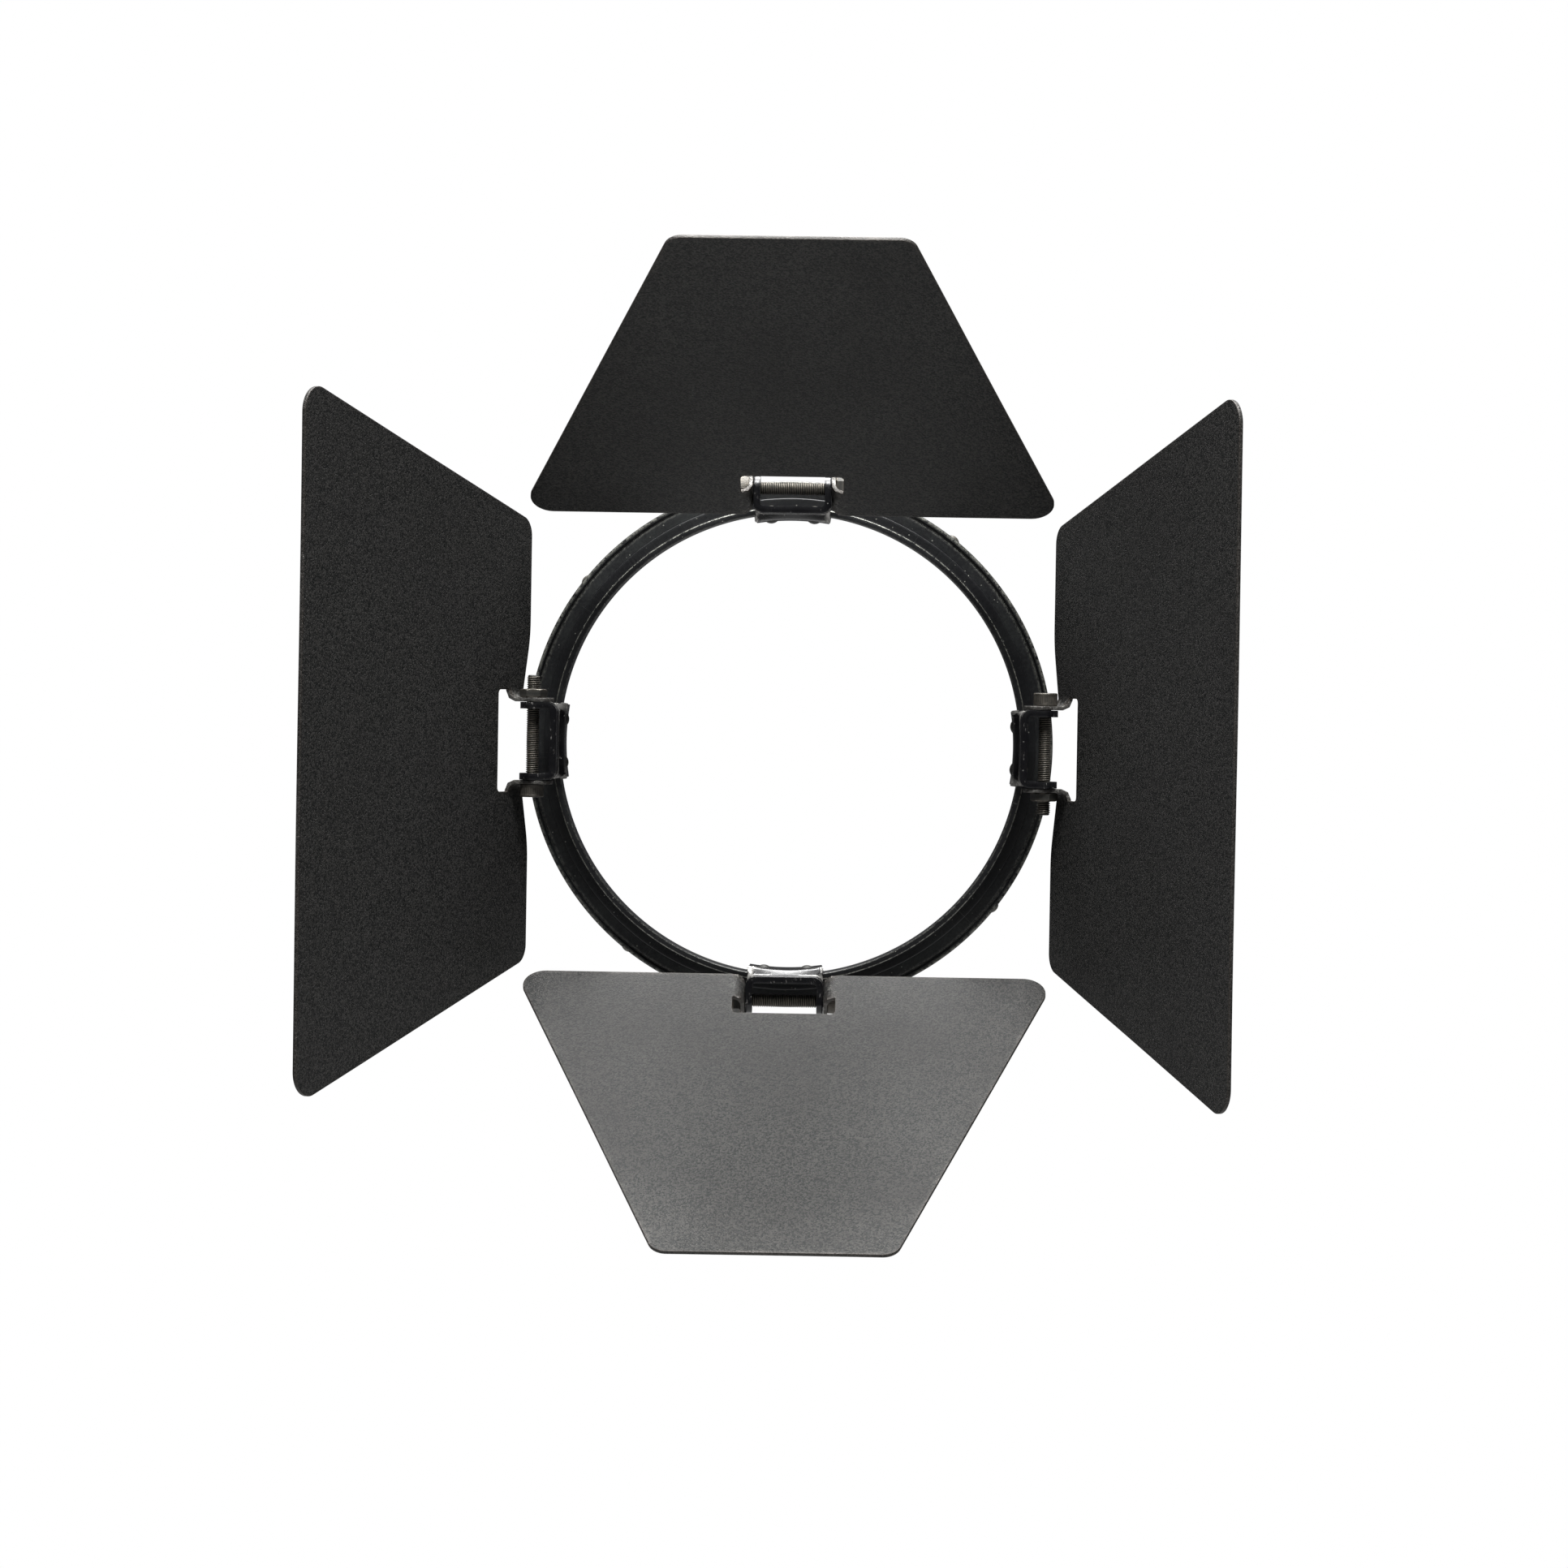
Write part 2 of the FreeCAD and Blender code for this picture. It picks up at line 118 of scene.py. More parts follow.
# %% [markdown]
# ## Finishing a mesh
#
# Sheet metal is easiest to describe by its middle surface. Solidify gives it
# its thickness and Bevel breaks its edges. The modifiers' result is then kept
# as a plain mesh, so that what depends on the final points, such as how
# sharply the faces turn at each of them, can be worked out and stored.

# %% Modifiers and settling
def modifier(piece, kind, **settings):
    """Adds one modifier with its settings."""
    made = piece.modifiers.new(kind.title(), kind)
    for key, value in settings.items():
        setattr(made, key, value)
    return made


def settle(piece):
    """Replaces the mesh by the result of its modifiers and removes them."""
    depsgraph = bpy.context.evaluated_depsgraph_get()
    mesh = bpy.data.meshes.new_from_object(piece.evaluated_get(depsgraph))
    piece.modifiers.clear()
    old, piece.data = piece.data, mesh
    mesh.name = piece.name
    bpy.data.meshes.remove(old)
    return piece


def points_of(piece):
    """The mesh's points in millimetres, as an (n, 3) array."""
    flat = np.zeros(len(piece.data.vertices) * 3)
    piece.data.vertices.foreach_get("co", flat)
    return flat.reshape(-1, 3) / MM


def mark(piece, name, values):
    """Stores one number per point, for the finishes to read."""
    layer = piece.data.attributes.new(name, "FLOAT", "POINT")
    layer.data.foreach_set("value", np.asarray(values, dtype=np.float32))


def finish_piece(piece, node, material, sharp_deg=32.0):
    """Smooth faces with sharp edges kept, then the finish, the body it rides on and the
    mechanical part that it stands for."""
    piece.data.shade_smooth()
    piece.data.set_sharp_from_angle(angle=math.radians(sharp_deg))
    piece.data.materials.clear()
    piece.data.materials.append(material)
    body = next(name for name, nodes in frame["record"]["behaviour"]["bodies"].items() if node in nodes)
    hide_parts(node)
    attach(piece, body)
    low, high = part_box(node)
    made = points_of(piece) * MM
    gap = max(abs(made.min(0) - np.array(low)).max(), abs(made.max(0) - np.array(high)).max())
    faces = len(piece.data.polygons)
    print("%-22s %6d faces, box within %.2f mm of the part" % (piece.name, faces, gap / MM))
    return piece


# %% [markdown]
# ## Writing shader maths as sums
#
# A finish mixes noise, masks and colours. As a node tree each sum is a node
# with two wires, which hides the idea. A small class that wraps a socket and
# knows `+`, `-` and `*` lets the idea be written as it is thought, and it adds
# the Math nodes by itself. Colours go through Mix nodes instead, because a
# Math node would turn them grey.

# %% A socket that can be added and multiplied
class Amount:
    """One number that varies over the surface."""

    def __init__(self, finish, socket):
        self.finish = finish
        self.socket = socket

    def _with(self, operation, first, second, clamp=False):
        settings = {"operation": operation, "use_clamp": clamp}
        return self.finish.node("Math", settings, {0: first, 1: second})

    def __add__(self, other):
        return self._with("ADD", self, other)

    def __radd__(self, other):
        return self._with("ADD", other, self)

    def __sub__(self, other):
        return self._with("SUBTRACT", self, other)

    def __rsub__(self, other):
        return self._with("SUBTRACT", other, self)

    def __mul__(self, other):
        return self._with("MULTIPLY", self, other)

    def __rmul__(self, other):
        return self._with("MULTIPLY", other, self)

    def clamped(self):
        """The same, kept between 0 and 1."""
        return self._with("ADD", self, 0.0, clamp=True)

    def step(self, low, high):
        """0 below low, 1 above high and a smooth rise between; high may be the smaller."""
        settings = {"interpolation_type": "SMOOTHSTEP", "clamp": True}
        if high > low:
            return self.finish.node("MapRange", settings, {"Value": self, "From Min": low, "From Max": high})
        return 1 - self.finish.node("MapRange", settings, {"Value": self, "From Min": high, "From Max": low})


# %% A finish: one material and its nodes
class Finish:
    """Builds one material. Every node comes from node(); the rest are shorthands."""

    def __init__(self, name):
        self.material = bpy.data.materials.new(name)
        self.material.use_nodes = True
        self.tree = self.material.node_tree
        self.tree.nodes.clear()

    def node(self, kind, settings, inputs, output=0):
        """Adds a node, sets it up first, then gives its sockets values or links."""
        made = self.tree.nodes.new("ShaderNode" + kind)
        for key, value in settings.items():
            setattr(made, key, value)
        for key, value in inputs.items():
            socket = made.inputs[key]
            if isinstance(value, Amount):
                self.tree.links.new(value.socket, socket)
            else:
                socket.default_value = value
        return Amount(self, made.outputs[output])

    def place(self):
        """The point's own place in metres, in the frame that every part shares."""
        return self.node("TexCoord", {}, {}, "Object")

    def attribute(self, name):
        """A value stored on the mesh by mark()."""
        return self.node("Attribute", {"attribute_name": name}, {}, "Fac")

    def noise(self, scale, detail=2.0, rough=0.5, at=None):
        """Cloudy noise around one half; scale is features per metre."""
        inputs = {"Vector": at or self.place(), "Scale": scale, "Detail": detail, "Roughness": rough}
        return self.node("TexNoise", {}, inputs, "Fac")

    def grains(self, scale, at=None):
        """Distance to the nearest of many scattered points, in cells."""
        inputs = {"Vector": at or self.place(), "Scale": scale}
        return self.node("TexVoronoi", {}, inputs, "Distance")

    def grain_tone(self, scale):
        """A random number for each scattered point's own cell."""
        colour = self.node("TexVoronoi", {}, {"Vector": self.place(), "Scale": scale}, "Color")
        return self.node("SeparateColor", {}, {"Color": colour}, "Red")

    def squashed(self, scale):
        """The place with each axis scaled, to stretch a pattern along the others."""
        return self.node("Mapping", {}, {"Vector": self.place(), "Scale": scale})

    def colour(self, share, first, second):
        """Colour from first to second as share goes from 0 to 1."""
        settings = {"data_type": "RGBA", "clamp_factor": True}
        return self.node("Mix", settings, {0: share, 6: first, 7: second}, 2)

    def bump(self, height, distance, strength=1.0):
        """Small relief: height in parts of distance, in metres."""
        return self.node("Bump", {}, {"Height": height, "Distance": distance, "Strength": strength})

    def surface(self, **sockets):
        """The Principled shader; underscores in the names stand for spaces."""
        named = {key.replace("_", " "): value for key, value in sockets.items()}
        shader = self.node("BsdfPrincipled", {}, named)
        end = self.tree.nodes.new("ShaderNodeOutputMaterial")
        self.tree.links.new(shader.socket, end.inputs["Surface"])
        return self.material


# %% [markdown]
# ## The leaf paint
#
# The leaves are powder coated: dry plastic powder is baked on and melts to a
# matt skin with a fine pebbled grain. One even black looks like paper, so the
# coat gets three scales. Grains of under half a millimetre differ in tone and
# in height, broad clouds change the gloss where hands have rubbed it, and a
# few pale dust specks sit on top. The coat counts as partly metallic: a leaf
# that mirrors the lamp above shines, and the others stay as dark as the room.
#
# Three values stored on the mesh tell the paint where it is. The distance to
# the cut edge gives a rubbed border. The ridge value, high where faces turn
# sharply, gives the thin pale line on the edge and its chips. The rub value,
# high on the tongues at the hinge, gives the bare patches that turning leaves,
# and a paler line on the cut edges beside the hinge that is partly bare metal
# and partly a painted highlight.

# %% Powder coat
GRAIN_PER_M = 2900.0


def powder_coat():
    """Matt black coat. Each colour below is the one before it, mixed with the next mark by its
    share; the hinge mark is partly wear and partly a painted highlight on the cut edges. Grain
    and clouds set the roughness, and grain, pebbles and chips the height."""
    coat = Finish("powder_coat")
    edge = coat.attribute("edge_mm")
    ridge = coat.attribute("ridge")
    rub = coat.attribute("rub")
    scraped_patch = coat.noise(900.0, detail=4.0, rough=0.7).step(0.50, 0.62)
    # Paler cut edges beside the hinge: partly bare metal, partly a painted highlight on those edges.
    pale_hinge_rim = rub.step(0.1, 0.4) * edge.step(0.10, 0.02) * (scraped_patch * 0.5 + 0.25)
    hinge_wear_and_highlight = (rub * scraped_patch + pale_hinge_rim).clamped()
    grain = coat.grain_tone(GRAIN_PER_M) * 0.65 + coat.noise(2 * GRAIN_PER_M, detail=1.0) * 0.35
    cloud = coat.noise(22.0, detail=4.0, rough=0.6)
    pebble = coat.grains(GRAIN_PER_M)
    speck = coat.grain_tone(1500.0).step(0.93, 0.97) * coat.grains(1500.0).step(0.20, 0.06)
    chip = ridge.step(0.5, 0.9) * coat.noise(420.0, detail=3.0).step(0.66, 0.72)
    rubbed = edge.step(1.2, 0.2) * coat.noise(160.0, detail=3.0).step(0.40, 0.7)
    black = coat.colour(grain.step(0.15, 0.92), (0.0095, 0.0107, 0.0105, 1), (0.0560, 0.0540, 0.0515, 1))
    dusty = coat.colour(cloud.step(0.35, 0.75) * 0.35, black, (0.017, 0.016, 0.016, 1))
    worn = coat.colour(rubbed * 0.22, dusty, (0.055, 0.048, 0.042, 1))
    lined = coat.colour(ridge * 0.55, worn, (0.060, 0.050, 0.042, 1))
    flecked = coat.colour(speck * 0.55, lined, (0.17, 0.165, 0.155, 1))
    # Bare hinge patches, plus the painted highlight on the cut edges beside the hinge.
    scraped_and_highlit = coat.colour(hinge_wear_and_highlight * 0.75, flecked, (0.24, 0.235, 0.22, 1))
    colour = coat.colour(chip, scraped_and_highlit, (0.30, 0.29, 0.28, 1))
    roughness = (0.42 + grain * 0.22 + cloud * 0.12 - rubbed * 0.12).clamped()
    height = grain * 0.4 - pebble * 0.6 - chip * 0.8
    return coat.surface(
        Base_Color=colour,
        Roughness=roughness,
        Metallic=(0.6 + chip * 0.3 + hinge_wear_and_highlight * 0.3).clamped(),
        Normal=coat.bump(height, 0.00011, 1.0),
        Specular_IOR_Level=0.42,
    )


# %% [markdown]
# ## The ring paint
#
# The ring is turned from aluminium and sprayed satin black. Years of fingers
# and dust leave it blotched: greenish grey where the paint is polished thin,
# deep black between. Lathe marks run round it, so their noise reads only the
# distance from the axis. Scuffs run across the face, so their noise reads only
# the direction from the axis, and a second noise breaks them up. Both patterns
# close round the ring with no seam, which one on the angle itself wouldn't do.

# %% Ring paint
def from_axis(finish):
    """Distance from the beam axis, and direction from it as a unit vector."""
    flat = finish.squashed((1.0, 0.0, 1.0))
    reach = finish.node("VectorMath", {"operation": "LENGTH"}, {0: flat}, "Value")
    direction = finish.node("VectorMath", {"operation": "NORMALIZE"}, {0: flat})
    return reach, direction


def turned_paint(name, polish, haze, machining):
    """Satin black over a turned ring: blotches, lathe marks round it, scuffs across it,
    dust specks, and a worn line where the stored wear is high."""
    paint = Finish(name)
    worn_edge = paint.attribute("wear")
    reach, direction = from_axis(paint)
    blotch = paint.noise(70.0, detail=5.0, rough=0.62)
    fine = paint.noise(1500.0, detail=4.0, rough=0.7)
    lathe_inputs = {"W": reach, "Scale": 9000.0, "Detail": 1.0}
    lathe = paint.node("TexNoise", {"noise_dimensions": "1D"}, lathe_inputs, "Fac")
    across = paint.noise(75.0, detail=3.0, rough=0.7, at=direction)
    tick = paint.noise(230.0, detail=2.0, rough=0.6, at=direction).step(0.66, 0.74)
    scuff = tick * paint.noise(120.0, detail=1.0).step(0.52, 0.60)
    speck = paint.grain_tone(1300.0).step(0.90, 0.96) * paint.grains(1300.0).step(0.26, 0.08)
    share = blotch.step(0.38, 0.68) * 0.45 + fine.step(0.42, 0.66) * 0.40 + across.step(0.45, 0.75) * 0.15
    base = paint.colour(share * haze, (0.0034, 0.0036, 0.0046, 1), (0.0250, 0.0275, 0.0265, 1))
    rubbed = paint.colour(worn_edge * fine.step(0.38, 0.58), base, (0.24, 0.24, 0.21, 1))
    dusted = paint.colour(speck * 0.8, rubbed, (0.28, 0.28, 0.25, 1))
    colour = paint.colour(scuff * 0.5, dusted, (0.16, 0.16, 0.15, 1))
    roughness = (polish + blotch * 0.18 + lathe * 0.06 - worn_edge * 0.12).clamped()
    height = fine * 0.35 + lathe * 0.25 + across * machining - scuff * 0.3
    return paint.surface(
        Base_Color=colour,
        Roughness=roughness,
        Metallic=(worn_edge * 0.5).clamped(),
        Normal=paint.bump(height, 0.00006, 0.8),
        Specular_IOR_Level=0.4,
    )


# %% [markdown]
# ## Bracket enamel, blackened steel and spring steel
#
# The brackets are glossier than the leaves: a dipped enamel with scratches and
# dust between, pale along its edges. That pale line is partly metal where the
# enamel is rubbed thin and partly a painted highlight for the light that the
# rounded edges catch. The screws, nuts and rivets are black oxide, a thin
# brown-black skin that turns to grey-brown metal on the thread's crests. Both read
# a value stored on the mesh, high on crests and corners, so that the pale marks
# follow shape. The spring parts are bare steel with drawn lines and heat tints.

# %% Bracket enamel
def bracket_enamel():
    """Semi-gloss black. Rub is the ridge value times a clouded share, so the pale edges, partly worn metal
    and partly a painted highlight, are uneven.
    """
    enamel = Finish("bracket_enamel")
    wear = enamel.attribute("ridge").step(0.30, 0.85)
    orange_peel = enamel.noise(1500.0, detail=2.0)
    cloud = enamel.noise(260.0, detail=4.0, rough=0.65)
    scratch = enamel.noise(2600.0, detail=2.0, at=enamel.squashed((1.0, 0.12, 0.35))).step(0.60, 0.68)
    rub = (wear * (0.4 + cloud.step(0.30, 0.58) * 0.6)).clamped()
    speck = enamel.grain_tone(1600.0).step(0.95, 0.985) * enamel.grains(1600.0).step(0.40, 0.15)
    black = enamel.colour(
        cloud.step(0.4, 0.8) * 0.6, (0.0030, 0.0030, 0.0038, 1), (0.0120, 0.0122, 0.0125, 1))
    # Pale edge colour: partly enamel rubbed to metal, partly a painted highlight for the light that the
    # rounded edges catch.
    pale_edge_wear_and_highlight = enamel.colour(rub * 0.85, black, (0.44, 0.43, 0.41, 1))
    scored = enamel.colour(scratch * cloud.step(0.5, 0.62) * 0.5, pale_edge_wear_and_highlight, (0.24, 0.23, 0.22, 1))
    colour = enamel.colour(speck * 0.7, scored, (0.26, 0.26, 0.24, 1))
    return enamel.surface(
        Base_Color=colour,
        Roughness=(0.17 + cloud * 0.16 + rub * 0.08).clamped(),
        Metallic=(rub * 0.7).clamped(),
        Normal=enamel.bump(orange_peel * 0.7 - scratch * 0.3, 0.00003, 0.7),
        Specular_IOR_Level=0.4,
    )


# %% Blackened and bare steel
def blackened_steel():
    """Black oxide skin, with brown-grey metal showing on crests and corners: the stored wear
    times a clouded share, so that it wears in patches."""
    steel = Finish("blackened_steel")
    crest = steel.attribute("wear")
    cloud = steel.noise(700.0, detail=4.0, rough=0.65)
    fine = steel.noise(4200.0, detail=2.0)
    bare = (crest * (cloud.step(0.30, 0.62) * 0.75 + 0.35)).clamped()
    skin = steel.colour(fine, (0.012, 0.012, 0.011, 1), (0.036, 0.036, 0.032, 1))
    colour = steel.colour(bare, skin, (0.150, 0.136, 0.115, 1))
    return steel.surface(
        Base_Color=colour,
        Roughness=(0.38 + cloud * 0.22 + fine * 0.06).clamped(),
        Metallic=(0.45 + bare * 0.45).clamped(),
        Normal=steel.bump(fine, 0.000015, 0.8),
    )


def spring_steel():
    """Bare tempered steel: fine drawn lines, straw and blue heat tints in patches."""
    steel = Finish("tempered_steel")
    drawn = steel.noise(5200.0, detail=2.0, at=steel.squashed((1.0, 0.05, 1.0)))
    tint = steel.noise(190.0, detail=3.0)
    grey = steel.colour(drawn, (0.34, 0.33, 0.31, 1), (0.52, 0.51, 0.49, 1))
    straw = steel.colour(tint.step(0.45, 0.7) * 0.5, grey, (0.40, 0.33, 0.22, 1))
    colour = steel.colour(tint.step(0.62, 0.8) * 0.5, straw, (0.16, 0.18, 0.25, 1))
    return steel.surface(
        Base_Color=colour,
        Roughness=(0.24 + drawn * 0.20).clamped(),
        Metallic=1.0,
        Normal=steel.bump(drawn, 0.00001, 0.7),
    )


# %% All finishes
LEAF_PAINT = powder_coat()
RING_PAINT = turned_paint("worn_satin", polish=0.30, haze=1.0, machining=0.10)
COLLAR_PAINT = turned_paint("collar_satin", polish=0.26, haze=0.35, machining=1.2)
ENAMEL = bracket_enamel()
OXIDE = blackened_steel()
SPRING = spring_steel()
print("finishes:", [material.name for material in bpy.data.materials])

# %% [markdown]
# ## Turned rings
#
# A ring is a closed profile carried round the beam axis. The profile is a
# short list of corners, each rounded by a small arc, because no real edge is
# perfectly sharp and a rounded one catches a thin line of light. The radius
# may also depend on the angle: that is how the pockets for the grip springs
# are sunk into the bore without cutting anything.

# %% Profiles and turning
def corner_arc(before, corner, after, radius, arc_step):
    """Arc that rounds a corner: it touches both sides at radius / tan(half the angle) from
    the corner, and its middle is radius / sin(half the angle) away along the bisector."""
    back = (before - corner) / np.linalg.norm(before - corner)
    ahead = (after - corner) / np.linalg.norm(after - corner)
    half = math.acos(float(np.clip(back @ ahead, -1, 1))) / 2
    bisector = (back + ahead) / np.linalg.norm(back + ahead)
    centre = corner + bisector * radius / math.sin(half)
    start = corner + back * radius / math.tan(half) - centre
    turn = math.pi - 2 * half
    side = np.sign(back[0] * ahead[1] - back[1] * ahead[0])
    angle = -side * turn * np.linspace(0, 1, max(3, math.ceil(turn * radius / arc_step) + 1))
    x = start[0] * np.cos(angle) - start[1] * np.sin(angle)
    y = start[0] * np.sin(angle) + start[1] * np.cos(angle)
    return np.stack([x, y], -1) + centre


def rounded(corners, arc_step, longest):
    """Closed outline through (x, y, radius) corners: an arc at each, and straight runs
    divided so that no span is longer than given."""
    places = [np.array(corner[:2], float) for corner in corners]
    arcs = [corner_arc(places[i - 1], places[i], places[(i + 1) % len(places)], corners[i][2], arc_step)
            for i in range(len(corners))]
    outline = np.concatenate(arcs)
    ahead = np.roll(outline, -1, axis=0)
    parts = np.maximum(1, np.ceil(np.linalg.norm(ahead - outline, axis=1) / longest - 1e-6)).astype(int)
    spans = [a + (b - a) * np.linspace(0, 1, n, endpoint=False)[:, None]
             for a, b, n in zip(outline, ahead, parts)]
    return np.concatenate(spans)


def turned(profile, angles, radius_change=None):
    """Point at (radius, y) and angle from the top: x = radius sin, z = radius cos."""
    radius = np.broadcast_to(profile[None, :, 0], (len(angles), len(profile))).copy()
    y = np.broadcast_to(profile[None, :, 1], radius.shape)
    if radius_change is not None:
        radius += radius_change(angles[:, None], y, radius)
    return np.stack([radius * np.sin(angles)[:, None], y, radius * np.cos(angles)[:, None]], -1)


def full_turn(count):
    """Evenly spaced angles for a closed turn."""
    return np.linspace(0, 2 * np.pi, count, endpoint=False)


def radius_of(points):
    """Each point's distance from the beam axis: the hypotenuse of its x and z."""
    return np.hypot(points[:, 0], points[:, 2])


def bump_of(distance, width):
    """1 where the distance is zero, falling smoothly to 0 at the width."""
    share = np.clip(1 - np.abs(distance) / width, 0, 1)
    return share ** 2 * (3 - 2 * share)


square = rounded([(0, 0, 1), (10, 0, 1), (10, 10, 1), (0, 10, 1)], arc_step=0.2, longest=2.0)
print("a 10 mm square with 1 mm corners:", len(square), "points")

# %% [markdown]
# ## Mounting ring
#
# The outer band slides over the lamp's rim from behind. In front it has a
# flat painted face, a thin groove and a rolled bead at the outer edge. The
# sizes of the wall come from the part's own box, and the rest are a turner's
# usual steps. The bead and the groove's inner lip are stored as worn edges.

# %% Mounting ring
ring_low, ring_high = [np.array(c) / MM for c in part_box("mounting_ring")]
BAND_R = ring_high[2]
BAND_FRONT_Y, BAND_BACK_Y = ring_low[1], ring_high[1]
BORE_R = 57.6
SEAT_Y = -5.2
SNAP_ROOM_R = 56.9
FLANGE_BORE_R = 54.83
FLANGE_T = 1.5
FACE_Y = BAND_FRONT_Y + 0.4
BEAD_IN = BAND_R - 1.1
GROOVE_IN = BEAD_IN - 0.5
GROOVE_Y = FACE_Y + 0.2
WORN_DEPTH = 1.2
SPRING_ANGLES = np.radians(37.8 + 90.0 * np.arange(4))
SPRING_Y, SPRING_W, SPRING_ARC, SPRING_T = -0.6, 6.0, math.radians(15.0), 0.4
POCKET_MARGIN, POCKET_STEP = 0.4, 0.25


def spring_pockets(angle, y, radius):
    """Adds the pocket's depth to the bore where the angle and y both fall inside a spring's
    place: the distance inside the border over the step's width, kept between 0 and 1."""
    turn = (angle - SPRING_ANGLES[0] + np.pi / 4) % (np.pi / 2) - np.pi / 4
    round_the_bore = SPRING_ARC / 2 * BORE_R + POCKET_MARGIN - np.abs(turn) * BORE_R
    along_the_bore = SPRING_W / 2 + POCKET_MARGIN - np.abs(y - SPRING_Y)
    inside = np.clip(np.minimum(round_the_bore, along_the_bore) / POCKET_STEP, 0, 1)
    return np.where(np.abs(radius - BORE_R) < 0.05, SPRING_T * inside, 0.0)


band_profile = rounded([
    (FLANGE_BORE_R, FACE_Y, 0.12), (GROOVE_IN, FACE_Y, 0.09),
    (GROOVE_IN, GROOVE_Y, 0.09), (BEAD_IN, GROOVE_Y, 0.09),
    (BEAD_IN, BAND_FRONT_Y, 0.35), (BAND_R, BAND_FRONT_Y, 0.45),
    (BAND_R, BAND_BACK_Y, 0.35), (BORE_R, BAND_BACK_Y, 0.30),
    (BORE_R, SEAT_Y, 0.15), (SNAP_ROOM_R, SEAT_Y, 0.2),
    (SNAP_ROOM_R, FACE_Y + FLANGE_T, 0.1), (FLANGE_BORE_R, FACE_Y + FLANGE_T, 0.12),
], arc_step=0.12, longest=0.45)
band_grid = turned(band_profile, full_turn(540), spring_pockets)
ring = new_object("mounting_band", *joined([(band_grid, True, True)]))
ring_points = points_of(ring)
ring_r = radius_of(ring_points)
front = ring_points[:, 1] < BAND_FRONT_Y + WORN_DEPTH
mark(ring, "wear", front * (0.55 * bump_of(ring_r - (BAND_R - 0.35), 0.45)
                            + 0.35 * bump_of(ring_r - GROOVE_IN, 0.22)))
finish_piece(ring, "mounting_ring", RING_PAINT)

# %% [markdown]
# ## Carrier ring
#
# The carrier ring turns inside the band and holds the four hinges, so the
# whole set of leaves can be set square to the scene whichever way the lamp is
# turned. Its front edge is what shows: a narrow lip with coarse tool marks
# across it, bright where its outer corner has been rubbed. The tool marks are
# real waves in the lip, one every degree or so, of slightly uneven depth.

# %% Carrier ring
carrier_low, carrier_high = [np.array(c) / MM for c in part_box("carrier_ring")]
CARRIER_FRONT_Y, CARRIER_BACK_Y = carrier_low[1], carrier_high[1]
CARRIER_OUT_R, CARRIER_IN_R = 54.75, 53.35
CARRIER_MID_R = (CARRIER_OUT_R + CARRIER_IN_R) / 2
SHOULDER_R, SHOULDER_T = 57.0, 1.0
SHOULDER_BACK_Y = FACE_Y - 0.1
SHOULDER_FRONT_Y = SHOULDER_BACK_Y - SHOULDER_T
SNAP_FRONT_Y = FACE_Y + FLANGE_T + 0.1
SNAP_T, SNAP_IN_R, SNAP_OUT_R = 1.0, 54.1, 56.7
SNAP_GROOVE_R = SNAP_IN_R - 0.02
LIP_WAVES = 310
LIP_DEPTH = 0.035


def tool_marks(angle, y, radius):
    """Shallow waves round the front lip, fading within a millimetre of it: a fast wave
    whose depth follows two slower ones that never line up."""
    uneven = 0.6 + 0.25 * np.sin(7 * angle + 1.3) + 0.25 * np.sin(23 * angle + 0.4)
    near_lip = np.clip(1 - (y - CARRIER_FRONT_Y), 0, 1)
    wave = 0.5 + 0.5 * np.sin(LIP_WAVES * angle)
    return -LIP_DEPTH * uneven * near_lip * wave * np.sign(radius - CARRIER_MID_R)


carrier_profile = rounded([
    (CARRIER_IN_R, CARRIER_FRONT_Y, 0.35), (CARRIER_OUT_R, CARRIER_FRONT_Y, 0.30),
    (CARRIER_OUT_R, SHOULDER_FRONT_Y, 0.12), (SHOULDER_R, SHOULDER_FRONT_Y, 0.2),
    (SHOULDER_R, SHOULDER_BACK_Y, 0.1), (CARRIER_OUT_R, SHOULDER_BACK_Y, 0.08),
    (CARRIER_OUT_R, SNAP_FRONT_Y, 0.06), (SNAP_GROOVE_R, SNAP_FRONT_Y, 0.06),
    (SNAP_GROOVE_R, SNAP_FRONT_Y + SNAP_T, 0.06), (CARRIER_OUT_R, SNAP_FRONT_Y + SNAP_T, 0.06),
    (CARRIER_OUT_R, CARRIER_BACK_Y, 0.06), (CARRIER_IN_R, CARRIER_BACK_Y, 0.12),
], arc_step=0.12, longest=0.6)
carrier_grid = turned(carrier_profile, full_turn(1240), tool_marks)
carrier = new_object("carrier_collar", *joined([(carrier_grid, True, True)]))
carrier_points = points_of(carrier)
at_lip = bump_of(carrier_points[:, 1] - CARRIER_FRONT_Y - 0.1, 0.5)
mark(carrier, "wear", at_lip * (0.95 * bump_of(radius_of(carrier_points) - CARRIER_OUT_R + 0.12, 0.18)
                                + 0.30 * bump_of(radius_of(carrier_points) - CARRIER_IN_R - 0.1, 0.25)))
finish_piece(carrier, "carrier_ring", COLLAR_PAINT)

# %% [markdown]
# ## Folded sheet metal
#
# Leaves, brackets and springs all start as a flat blank cut from sheet, which
# is then folded. The code does the same. The blank is an outline with arcs at
# its corners and holes in it, filled with triangles that are small at the
# edges and in the bends. Folding is a formula that maps each point of the flat
# blank to its place in the folded part. Solidify then gives the sheet its
# thickness and Bevel breaks its edges. Building a folded part from crossing
# boxes would need each bend to be cut and joined by hand, and the distance to
# the cut edge, which the paint's rubbed border needs, would be lost.

